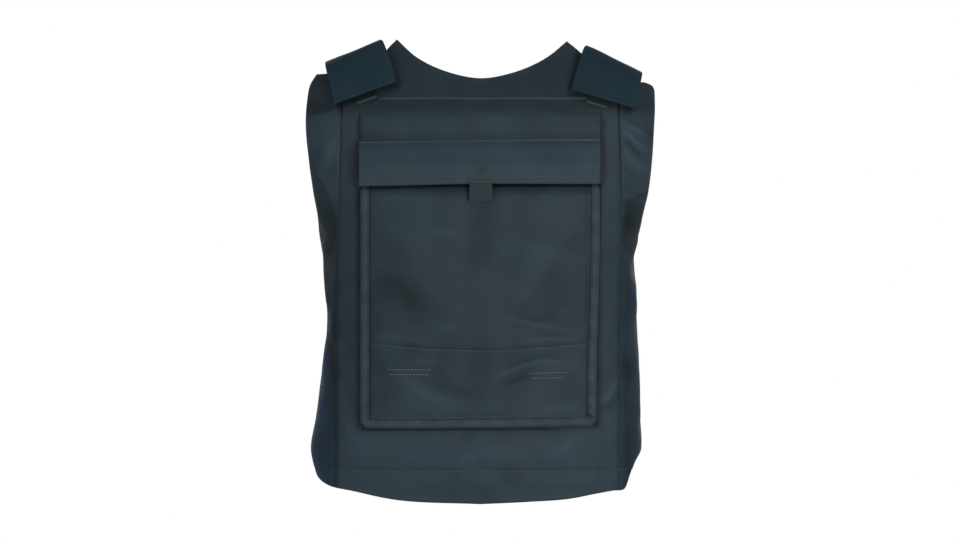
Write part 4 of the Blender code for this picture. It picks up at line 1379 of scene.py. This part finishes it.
def round_corners(x, height):
    """Places in the pocket's rectangle moved inside its rounded lower corners."""
    x, height = np.array(np.broadcast_arrays(x, height))
    low = POCKET_BOTTOM + POCKET_CORNER
    for side, edge in ((-1, POCKET_LEFT + POCKET_CORNER), (1, POCKET_RIGHT - POCKET_CORNER)):
        inside = (side * (x - edge) > 0) & (height < low)
        a, b = (x - edge) / POCKET_CORNER, (height - low) / POCKET_CORNER
        x = np.where(inside, edge + POCKET_CORNER * a * np.sqrt(np.clip(1 - b * b / 2, 0, 1)), x)
        height = np.where(inside, low + POCKET_CORNER * b * np.sqrt(np.clip(1 - a * a / 2, 0, 1)), height)
    return x, height


def lean(x, height):
    """Places on the pocket moved outwards towards its mouth, and up towards its lower right corner."""
    share = (x - POCKET_LEFT) / (POCKET_RIGHT - POCKET_LEFT)
    climb = ease((height - 0.12) / 0.20)
    down = np.clip((POCKET_MOUTH - height) / (POCKET_MOUTH - POCKET_BOTTOM), 0, 1)
    rise = POCKET_RISE * np.clip(share, 0, 1) ** 2 * down
    return x + climb * (POCKET_LEAN * share), height + rise


def fold_back_walls(piece, steps):
    """Extrudes a grid's left, bottom and right borders in steps, each one unit down in z."""
    pick(piece)
    for step in range(steps):
        bpy.ops.object.mode_set(mode="OBJECT")
        mesh = piece.data
        co = np.array([vertex.co for vertex in mesh.vertices])
        level = np.abs(co[:, 2] + step) < 0.001
        border = level & ((co[:, 0] < 0.0001) | (co[:, 0] > 0.9999) | (co[:, 1] < 0.0001))
        pairs = np.array([edge.vertices[:] for edge in mesh.edges])
        same_side = ((np.abs(co[pairs[:, 0], 0] - co[pairs[:, 1], 0]) < 1e-5)
                     | (np.abs(co[pairs[:, 0], 1] - co[pairs[:, 1], 1]) < 1e-5))
        chosen = border[pairs].all(axis=1) & same_side
        mesh.vertices.foreach_set("select", np.zeros(len(co), dtype=bool))
        mesh.polygons.foreach_set("select", np.zeros(len(mesh.polygons), dtype=bool))
        mesh.edges.foreach_set("select", chosen)
        bpy.ops.object.mode_set(mode="EDIT")
        bpy.ops.mesh.select_mode(type="EDGE")
        bpy.ops.mesh.extrude_edges_move(TRANSFORM_OT_translate={"value": (0.0, 0.0, -1.0)})
    bpy.ops.object.mode_set(mode="OBJECT")


def plate_pocket():
    """Soft pocket bag: its face and the gussets behind it, open at the top."""
    bpy.ops.object.select_all(action="DESELECT")
    columns, rows = 120, 130
    bpy.ops.mesh.primitive_grid_add(x_subdivisions=columns, y_subdivisions=rows, size=1.0,
                                    location=(0.5, 0.5, 0.0))
    piece = bpy.context.object
    piece.name = piece.data.name = "plate_pocket_bag"
    bpy.ops.object.transform_apply(location=True)
    fold_back_walls(piece, 4)
    mesh = piece.data
    co = np.array([vertex.co for vertex in mesh.vertices])
    u, v, w = co.T
    ends = np.array([0.0, 0.0006, 0.0016, 0.0032, 0.0052])
    width, tall = POCKET_RIGHT - POCKET_LEFT, POCKET_MOUTH - POCKET_BOTTOM
    across = np.concatenate([ends, np.linspace(0.0080, width - 0.0080, columns - 9), width - ends[::-1]])
    up = np.concatenate([ends, np.linspace(0.0080, tall, rows - 4)])
    x = POCKET_LEFT + np.interp(u * columns, range(columns + 1), across)
    height = POCKET_BOTTOM + np.interp(v * rows, range(rows + 1), up)
    stand = pocket_face(x, height)
    back = POCKET_DEPTH - POCKET_ROLL
    stand = np.where(w < -0.5, back + (GUSSET_SEAT - back) * (-w / 4.0), stand)
    x, height = lean(*round_corners(x, height))
    mesh.vertices.foreach_set("co", before(x, height, stand).ravel())
    set_uv(mesh, np.stack([x - w * 0.003, height], axis=1))
    set_tone_attribute(piece, pocket_tone_and_painted_light(x, height))
    mesh.update()
    thicken(piece, POCKET_MESH)
    dress(piece, "plate_pocket", nylon)
    return piece


def pocket_binding():
    """Tape bound over the pocket's left, bottom and right edges, with mitred corners."""
    left, right, low = POCKET_LEFT, POCKET_RIGHT, POCKET_BOTTOM
    counts = (150, 140, 150)

    def course(inset):
        corners = ((left + inset, POCKET_MOUTH), (left + inset, low + inset), (right - inset, low + inset),
                   (right - inset, POCKET_MOUTH))
        parts = [np.linspace(start, stop, count, endpoint=False)
                 for start, stop, count in zip(corners, corners[1:], counts)]
        return np.concatenate(parts + [np.array(corners[3:])])

    insets = BINDING_WIDTH * np.array([0.0, 0.06, 0.14, 0.26, 0.40, 0.54, 0.66, 0.76, 0.85, 0.94, 1.0])
    returns = np.array([0.25, 0.5, 0.75, 1.0])
    rings, stands = [], []
    for share in returns[::-1]:
        rings.append(course(-BINDING_CLOTH))
        stands.append(np.full(len(rings[-1]), POCKET_DEPTH - POCKET_ROLL - BINDING_RETURN * share))
    for inset in insets:
        rings.append(course(inset - BINDING_CLOTH * max(1.0 - inset / 0.003, 0.0)))
        stands.append(pocket_face(*course(inset).T))
    rings, stands = np.array(rings), np.array(stands)
    length = reach(course(BINDING_WIDTH / 2))
    across = np.concatenate([-BINDING_RETURN * returns[::-1], insets])
    cloth = np.full(rings.shape[:2], BINDING_CLOTH + GAP)
    cloth -= roll(np.maximum(BINDING_WIDTH - across, 0.0), 0.0008)[:, None]
    pucker = 0.00035 * wave(length, 0.012, 2.0 * ripple(length, length * 0, 0.06, 41))
    cloth += pucker[None, :] * ridge(across - BINDING_STITCH, 0.004)[:, None]
    cloth -= 0.0004 * ridge(across - BINDING_STITCH, 0.0008)[:, None]
    tight = ridge(length - length[-1] + 0.32, 0.045) + 0.5 * ridge(length - 0.29, 0.03)
    cloth += 0.0007 * np.outer(ridge(across - 0.005, 0.005), tight * wave(length, 0.0105))
    # Painted highlight on the tape's rounded part, painted shade at its inner edge and in its puckers, and a
    # painted shadow under the flap
    wear_and_painted_light = 0.12 * wave(length, 0.031) * ridge(across - 0.006, 0.006)[:, None]
    wear_and_painted_light = wear_and_painted_light + 0.3 * ridge(across - 0.0035, 0.002)[:, None]
    wear_and_painted_light = wear_and_painted_light - 0.2 * ridge(across - BINDING_WIDTH, 0.0010)[:, None]
    x, height = lean(*round_corners(rings[..., 0], rings[..., 1]))
    creases = fold_relief(BINDING_PUCKERS, x, height)
    points = before(x, height, stands + cloth + 0.6 * creases)
    wear_and_painted_light = wear_and_painted_light + 620.0 * creases - 0.7 * under_flap(x, height)
    uv = np.stack(np.broadcast_arrays(across[:, None], length[None, :]), axis=2)
    piece = cloth_grid("pocket_binding_tape", points, uv, wear_and_painted_light)
    thicken(piece, BINDING_MESH)
    dress(piece, "pocket_binding", tape)
    return piece


def flap_edges(x):
    """Heights of the flap's lower and upper edges, which rise a little to the viewer's right."""
    share = (x - FLAP_LEFT) / (FLAP_RIGHT - FLAP_LEFT)
    low = FLAP_BOTTOM - 0.0012 + 0.0026 * ease(share / 0.55)
    return low, FLAP_TOP - 0.0012 + 0.0032 * share


FLAP_CLOTH_SHAPE = settle(lambda x, up: before(x, FLAP_BOTTOM + up, 0.012), held=lambda x, up: up > 0.048,
                          limits=(FLAP_LEFT, FLAP_RIGHT, 0.0, 0.0500), steps=(75, 15),
                          slack=0.006, weight=0.6, cap=0.0012, seed=64)


def flap_stand(x, share, edge):
    """How far the flap's face stands outside the torso at a share of its height."""
    low, high = flap_edges(x)
    height = low + (high - low) * share
    mouth = POCKET_MOUTH + 0.001
    climb = np.clip((FLAP_TOP - height) / (FLAP_TOP - mouth), 0.0, 1.0)
    lift = SEAT + (FLAP_SEAT - SEAT) * np.sin(climb * pi / 2) ** 0.92
    lift = lift + 0.0012 * ease((mouth - height) / 0.02)
    soft = 0.0006 * ripple(x, height * 2.0, 0.09, 51) + 0.0003 * ripple(x, height, 0.03, 52)
    soft = np.maximum(soft + read_settled(FLAP_CLOTH_SHAPE, x, share * 0.05), -0.0002)
    return lift + FLAP_CLOTH - roll(edge, 0.0014) + soft * ease(edge / 0.012)


def pocket_flap():
    """Flap over the pocket's mouth, sewn down along its top."""
    ends = np.array([0.0, 0.0004, 0.0010, 0.0018, 0.0030])
    width, tall = FLAP_RIGHT - FLAP_LEFT, FLAP_TOP - FLAP_BOTTOM
    x = FLAP_LEFT + np.concatenate([ends, np.linspace(0.0055, width - 0.0055, 150), width - ends[::-1]])
    share = np.concatenate([ends, np.linspace(0.0045, tall - 0.0045, 56), tall - ends[::-1]]) / tall
    x, share = np.meshgrid(x, share)
    low, high = flap_edges(x)
    height = low + (high - low) * share
    edge = np.minimum.reduce([x - FLAP_LEFT, FLAP_RIGHT - x, share * tall, (1.0 - share) * tall])
    stand = flap_stand(x, share, edge) - 0.0005 * ridge((1.0 - share) * tall - 0.004, 0.0009)
    # Lighter overall; painted light towards the flap's right and top and a painted highlight along its top
    # edge; painted shade below that edge, round the tab and along the lower edge; random tone
    wear_and_painted_light = 0.22 + 0.14 * (x - FLAP_LEFT) / width + 0.22 * ease((share - 0.5) / 0.25)
    wear_and_painted_light += 1.05 * ridge((1.0 - share) * tall - 0.0006, 0.0011) + 0.06 * ripple(x, height, 0.06, 74)
    wear_and_painted_light -= 0.16 * ridge((1.0 - share) * tall - 0.0048, 0.0034)
    dent = ridge(np.hypot(x - 0.001, (height - 0.3835) * 1.6), 0.007)
    wear_and_painted_light -= 0.25 * dent + 0.2 * ridge(share * tall, 0.0016)
    piece = cloth_grid("pocket_flap_cloth", before(x, height, stand), np.stack([x, height], axis=2), wear_and_painted_light)
    thicken(piece, FLAP_MESH)
    dress(piece, "pocket_flap", nylon)
    return piece


def flap_tab():
    """Webbing pull tab sewn on the flap's lower edge."""
    u = np.linspace(-0.5, 0.5, 41)[None, :] * FLAP_TAB_WIDTH
    height = np.linspace(FLAP_TAB_BOTTOM, FLAP_TAB_TOP, 44)[:, None]
    u, height = np.broadcast_arrays(u, height)
    stand = np.full(u.shape, FLAP_SEAT + FLAP_CLOTH + GAP + 0.0030)
    stand -= 0.0014 * ease((FLAP_BOTTOM - height) / 0.010)
    edge = from_edges(u, height, -FLAP_TAB_WIDTH / 2, FLAP_TAB_WIDTH / 2, FLAP_TAB_BOTTOM, FLAP_TAB_TOP)
    stand -= roll(edge, 0.0009)
    # Lighter edges and a painted highlight along the tab's top fold
    wear_and_painted_light = 0.12 * ridge(edge - 0.001, 0.001) + 0.35 * ridge(height - FLAP_TAB_TOP + 0.001, 0.0010)
    points = before(u + FLAP_TAB_MIDDLE, height, stand)
    piece = cloth_grid("flap_tab_webbing", points, np.stack([u, height], axis=2), wear_and_painted_light)
    thicken(piece, FLAP_TAB_MESH)
    dress(piece, "flap_tab", webbing)
    return piece


backing = pocket_backing()
pocket = plate_pocket()
binding = pocket_binding()
flap = pocket_flap()
pull_tab = flap_tab()


# Stitching


def one_stitch():
    """Points and faces of one stitch: a small rounded bar of length 1 along x, width 1 and height 1."""
    bpy.ops.object.select_all(action="DESELECT")
    bpy.ops.mesh.primitive_uv_sphere_add(segments=6, ring_count=5, radius=0.5)
    bead = bpy.context.object
    points = np.array([vertex.co for vertex in bead.data.vertices])[:, [2, 0, 1]]
    points[:, 0] = np.sign(points[:, 0]) * (np.abs(points[:, 0]) * 2) ** 0.45 / 2
    faces = [tuple(face.vertices) for face in bead.data.polygons]
    bpy.data.objects.remove(bead)
    return points, faces


BEAD_POINTS, BEAD_FACES = one_stitch()


def landed(piece, places):
    """Where places fall straight onto a piece's surface, and the directions out of it."""
    found = []
    for place in places:
        spot, inward = Vector(place[:3]), Vector(place[3:])
        hit, where, out, _ = piece.ray_cast(spot, inward)
        found.append((where, out) if hit else piece.closest_point_on_mesh(spot)[1:3])
    return np.array([where for where, _ in found]), np.array([out for _, out in found])


def sew(name, rows, finish, width=STITCH_WIDTH):
    """Rows of stitches as one piece; each row is the piece that it is sewn on and its course."""
    points, faces = [], []
    for piece, course in rows:
        run = reach(course[:, :3])
        count = max(int(run[-1] / STITCH_PITCH), 1)
        starts = (np.arange(count) + 0.5) * run[-1] / count - STITCH_LENGTH / 2
        ends = [read_path(starts + shift, run, course) for shift in (0.0, STITCH_LENGTH)]
        (first, out), (last, _) = landed(piece, ends[0]), landed(piece, ends[1])
        way = last - first
        size = np.linalg.norm(way, axis=1, keepdims=True)
        way = way / size
        side = np.cross(out, way)
        side /= np.linalg.norm(side, axis=1, keepdims=True)
        out = np.cross(way, side)
        middle = (first + last) / 2 + out * STITCH_HEIGHT * 0.40
        for centre, a, b, c, long in zip(middle, way, side, out, size[:, 0]):
            axes = np.array([a * long, b * width, c * STITCH_HEIGHT])
            first_corner = len(points) * len(BEAD_POINTS)
            faces.extend(tuple(corner + first_corner for corner in face) for face in BEAD_FACES)
            points.append(centre + BEAD_POINTS @ axes)
    mesh = bpy.data.meshes.new(name)
    mesh.from_pydata(np.concatenate(points).tolist(), [], faces)
    stitching = bpy.data.objects.new(name, mesh)
    bpy.context.scene.collection.objects.link(stitching)
    mesh.polygons.foreach_set("use_smooth", np.ones(len(mesh.polygons), dtype=bool))
    mesh.materials.append(finish)
    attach(stitching, "root")
    return stitching


def flat_course(x, height, stand, facing=FRONT):
    """Course outside the cloth at places seen from the front, with its directions into the cloth."""
    points = before(x, height, stand, facing)
    return np.concatenate([points, np.broadcast_to((0.0, -facing, 0.0), points.shape)], axis=1)


def seen(xs, heights, stand, facing=FRONT):
    """Smooth course outside the cloth through places seen from the front."""
    return flat_course(*smooth_path(np.stack([xs, heights], axis=1), 240).T, stand, facing)


def around(spots, facing, stand=0.006):
    """Smooth course outside a panel through its (along, height) points."""
    points, out = read_skin(*smooth_path(spots, 400).T, facing)
    return np.concatenate([points + out * stand, -out], axis=1)


def inside_edge(net, inset):
    """(along, height) points of a course at an even distance inside a net's border."""
    border = np.concatenate([net[0], net[1:, -1], net[-1, -2::-1], net[-2:0:-1, 0]])
    ahead, behind = np.roll(border, -3, axis=0), np.roll(border, 3, axis=0)
    way = ahead - behind
    way /= np.linalg.norm(way, axis=1, keepdims=True)
    return border + np.stack([-way[:, 1], way[:, 0]], axis=1) * inset


def panel_rows():
    """Stitches of the front panel: yoke, hem and princess seams."""
    pale = [(front_panel, seen((-0.110, -0.05, 0.05, 0.122), (0.4662,) * 4, 0.006)),
            (front_panel, around([(along, HEM_STITCH) for along in np.linspace(-0.222, 0.198, 30)], FRONT)),
            (front_panel, seen((-0.1613, -0.1618, -0.1622), (0.4185, 0.4030, 0.3877), 0.006)),
            (front_panel, seen((0.1613, 0.1618, 0.1620), (0.4470, 0.4350, 0.4219), 0.006)),
            (front_panel, seen((0.1622, 0.1622, 0.1622), (0.0360, 0.0330, 0.0300), 0.006))]
    dark = []
    for name, course in PRINCESS_SEAMS.items():
        xs, heights = np.array(course)[:, 0], np.array(course)[:, 1]
        for shift, low in ((-0.0042, 0.330), (0.0042, 0.330), (0.0008, 0.026)):
            levels = np.linspace(low, 0.452 if name == "left" else 0.415, 40)
            dark.append((front_panel, flat_course(curve(levels, heights, xs) + shift, levels, 0.006)))
    return pale, dark


def pocket_rows():
    """Stitches of the pocket, its binding, backing, flap and tab."""
    xs = np.linspace(-0.1240, 0.1225, 9)
    pale = [(pocket, seen(xs, pocket_row(xs) + 0.0008, POCKET_DEPTH + 0.007))]
    for x, low, high in ((-0.1375, 0.4040, 0.4120), (0.1355, 0.4120, 0.4165), (0.1355, 0.3850, 0.3880)):
        pale.append((flap, seen((x, x, x), (low, (low + high) / 2, high), 0.019)))
    pale.append((backing, seen((0.1353,) * 3, (0.4245, 0.4350, 0.4450), 0.004)))
    tab_line = FLAP_TAB_TOP - 0.0012
    pale.append((pull_tab, seen((-0.0105, 0.001, 0.0120), (tab_line,) * 3, FLAP_SEAT + 0.008)))
    pale.append((flap, seen((-0.0010, -0.0010, -0.0010), (0.3722, 0.3750, 0.3775), FLAP_SEAT + 0.005)))
    dark = [(flap, seen(np.linspace(FLAP_LEFT + 0.004, FLAP_RIGHT - 0.004, 5),
                        flap_edges(np.linspace(FLAP_LEFT + 0.004, FLAP_RIGHT - 0.004, 5))[1] - 0.004, 0.008)),
            (flap, seen(np.linspace(FLAP_LEFT + 0.006, FLAP_RIGHT - 0.006, 9),
                        flap_edges(np.linspace(FLAP_LEFT + 0.006, FLAP_RIGHT - 0.006, 9))[0] + 0.006, 0.024)),
            (backing, seen((BACKING_LEFT + 0.003,) * 3, (0.421, 0.435, 0.447), 0.004)),
            (backing, seen((BACKING_LEFT + 0.003, 0.0, BACKING_RIGHT - 0.003), (0.4465,) * 3, 0.004))]
    stand = POCKET_DEPTH + 0.003
    row = BINDING_STITCH
    levels = np.linspace(0.361, POCKET_BOTTOM + row, 30)
    dark += [(binding, flat_course(*lean(x, levels), stand)) for x in (POCKET_LEFT + row, POCKET_RIGHT - row)]
    xs = np.linspace(POCKET_LEFT + row, POCKET_RIGHT - row, 30)
    pale.append((binding, flat_course(*lean(xs, POCKET_BOTTOM + row), stand)))
    return pale, dark


def bar_rows():
    """The two pairs of short heavy rows in the pocket's lower part."""
    rows = []
    for left, right, heights in ((-0.1055, -0.0560, (0.1570, 0.1515)), (0.0553, 0.0985, (0.1530, 0.1472))):
        for height, inset in zip(heights, (0.0, 0.003)):
            slope = 0.0010 if left > 0 else 0.0
            rows.append((pocket, seen((left + inset, (left + right) / 2, right - inset),
                                      (height, height + slope / 2, height + slope), POCKET_DEPTH + 0.007)))
    return rows


def strap_rows(side):
    """Stitches round both ends of a strap, a little inside its edges."""
    shape = STRAPS[side]
    top = np.array(shape.top_in)
    rows = []
    for inner, outer, facing, stand, tall in ((shape.front_in, shape.front_out, FRONT, 0.014, 0.034),
                                              (shape.back_in, shape.back_out, BACK, 0.010, 0.040)):
        inner, outer = np.array(inner), np.array(outer)
        way = (outer - inner) / np.linalg.norm(outer - inner)
        lap = (top - inner) / np.linalg.norm(top - inner)
        low_in, low_out = inner + way * 0.008 + lap * 0.009, outer - way * 0.008 + lap * 0.009
        runs = [(low_in + lap * tall, low_in), (low_in, low_out), (low_out, low_out + lap * (tall - 0.004))]
        if facing == BACK:
            runs.append((low_out + lap * (tall - 0.004), low_in + lap * tall))
        rows += [(straps[side], seen(*np.array([start, (start + end) / 2, end]).T, stand, facing))
                 for start, end in runs]
    return rows


pale_rows, dark_rows = panel_rows()
sew("front_panel_pale_stitching", pale_rows, thread)
sew("front_panel_seam_stitching", dark_rows, dark_thread)
pale_rows, dark_rows = pocket_rows()
sew("pocket_pale_stitching", pale_rows, thread)
sew("pocket_bar_stitching", bar_rows(), bright_thread, 0.0010)
sew("pocket_edge_stitching", dark_rows, dark_thread)
for side in STRAPS:
    sew("strap_stitching_" + side, strap_rows(side), dark_thread)
sew("back_panel_stitching", [(back_panel, around(inside_edge(back_net(), 0.010), BACK))],
    dark_thread)


# Light, floor and camera

CAMERA_DISTANCE = 6.0
CAMERA_HEIGHT = -0.2437
VIEW_WIDTH = 1.1136
FLOOR_HEIGHT = -0.620
FLOOR_RADIUS = 1.15


def area_light(name, place, size, power, colour=(1.0, 1.0, 1.0)):
    """Soft square light that points at the vest."""
    bpy.ops.object.light_add(type="AREA", location=place)
    light = bpy.context.object
    light.name = name
    light.data.size = size
    light.data.energy = power
    light.data.color = colour
    aim = Vector((0.0, 0.0, -0.25)) - Vector(place)
    light.rotation_euler = aim.to_track_quat("-Z", "Y").to_euler()


def studio():
    """White room with soft lights, a pale floor and the camera."""
    world = bpy.data.worlds.new("white_room")
    world.use_nodes = True
    nodes, links = world.node_tree.nodes, world.node_tree.links
    seen, room = nodes["Background"], nodes.new("ShaderNodeBackground")
    seen.inputs["Color"].default_value = (1.0, 1.0, 1.0, 1.0)
    room.inputs["Color"].default_value = (0.90, 0.96, 1.0, 1.0)
    room.inputs["Strength"].default_value = 0.34
    rays, mix = nodes.new("ShaderNodeLightPath"), nodes.new("ShaderNodeMixShader")
    links.new(rays.outputs["Is Camera Ray"], mix.inputs[0])
    links.new(room.outputs[0], mix.inputs[1])
    links.new(seen.outputs[0], mix.inputs[2])
    links.new(mix.outputs[0], nodes["World Output"].inputs["Surface"])
    bpy.context.scene.world = world
    bpy.context.scene.view_settings.view_transform = "Standard"

    area_light("key_light", (1.5, -3.4, -0.5), 1.5, 56.0)
    area_light("fill_light", (-2.2, -3.0, -0.2), 2.2, 18.0)
    area_light("back_light", (0.0, 3.4, 0.3), 2.4, 36.0, (0.80, 0.92, 1.0))

    bpy.ops.mesh.primitive_circle_add(vertices=96, radius=FLOOR_RADIUS, fill_type="NGON",
                                      location=(0.0, 0.0, FLOOR_HEIGHT))
    floor = bpy.context.object
    floor.name = "floor"
    bpy.ops.object.transform_apply(location=True)
    pale = Finish("pale_floor", Roughness=0.9, Specular_IOR_Level=0.2)
    x, y, _ = pale.parts(pale.place())
    away = (x * x + y * y) ** 0.5
    pale.set("Base Color", (0.92, 0.92, 0.92, 1.0))
    pale.set("Alpha", ((FLOOR_RADIUS - away) / 0.5).within())
    floor.data.materials.append(pale.material)

    bpy.ops.object.camera_add(location=(0.0, -CAMERA_DISTANCE, CAMERA_HEIGHT), rotation=(pi / 2, 0.0, 0.0))
    camera = bpy.context.object
    camera.data.sensor_width = 36.0
    camera.data.lens = 36.0 * CAMERA_DISTANCE / VIEW_WIDTH
    bpy.context.scene.camera = camera


studio()
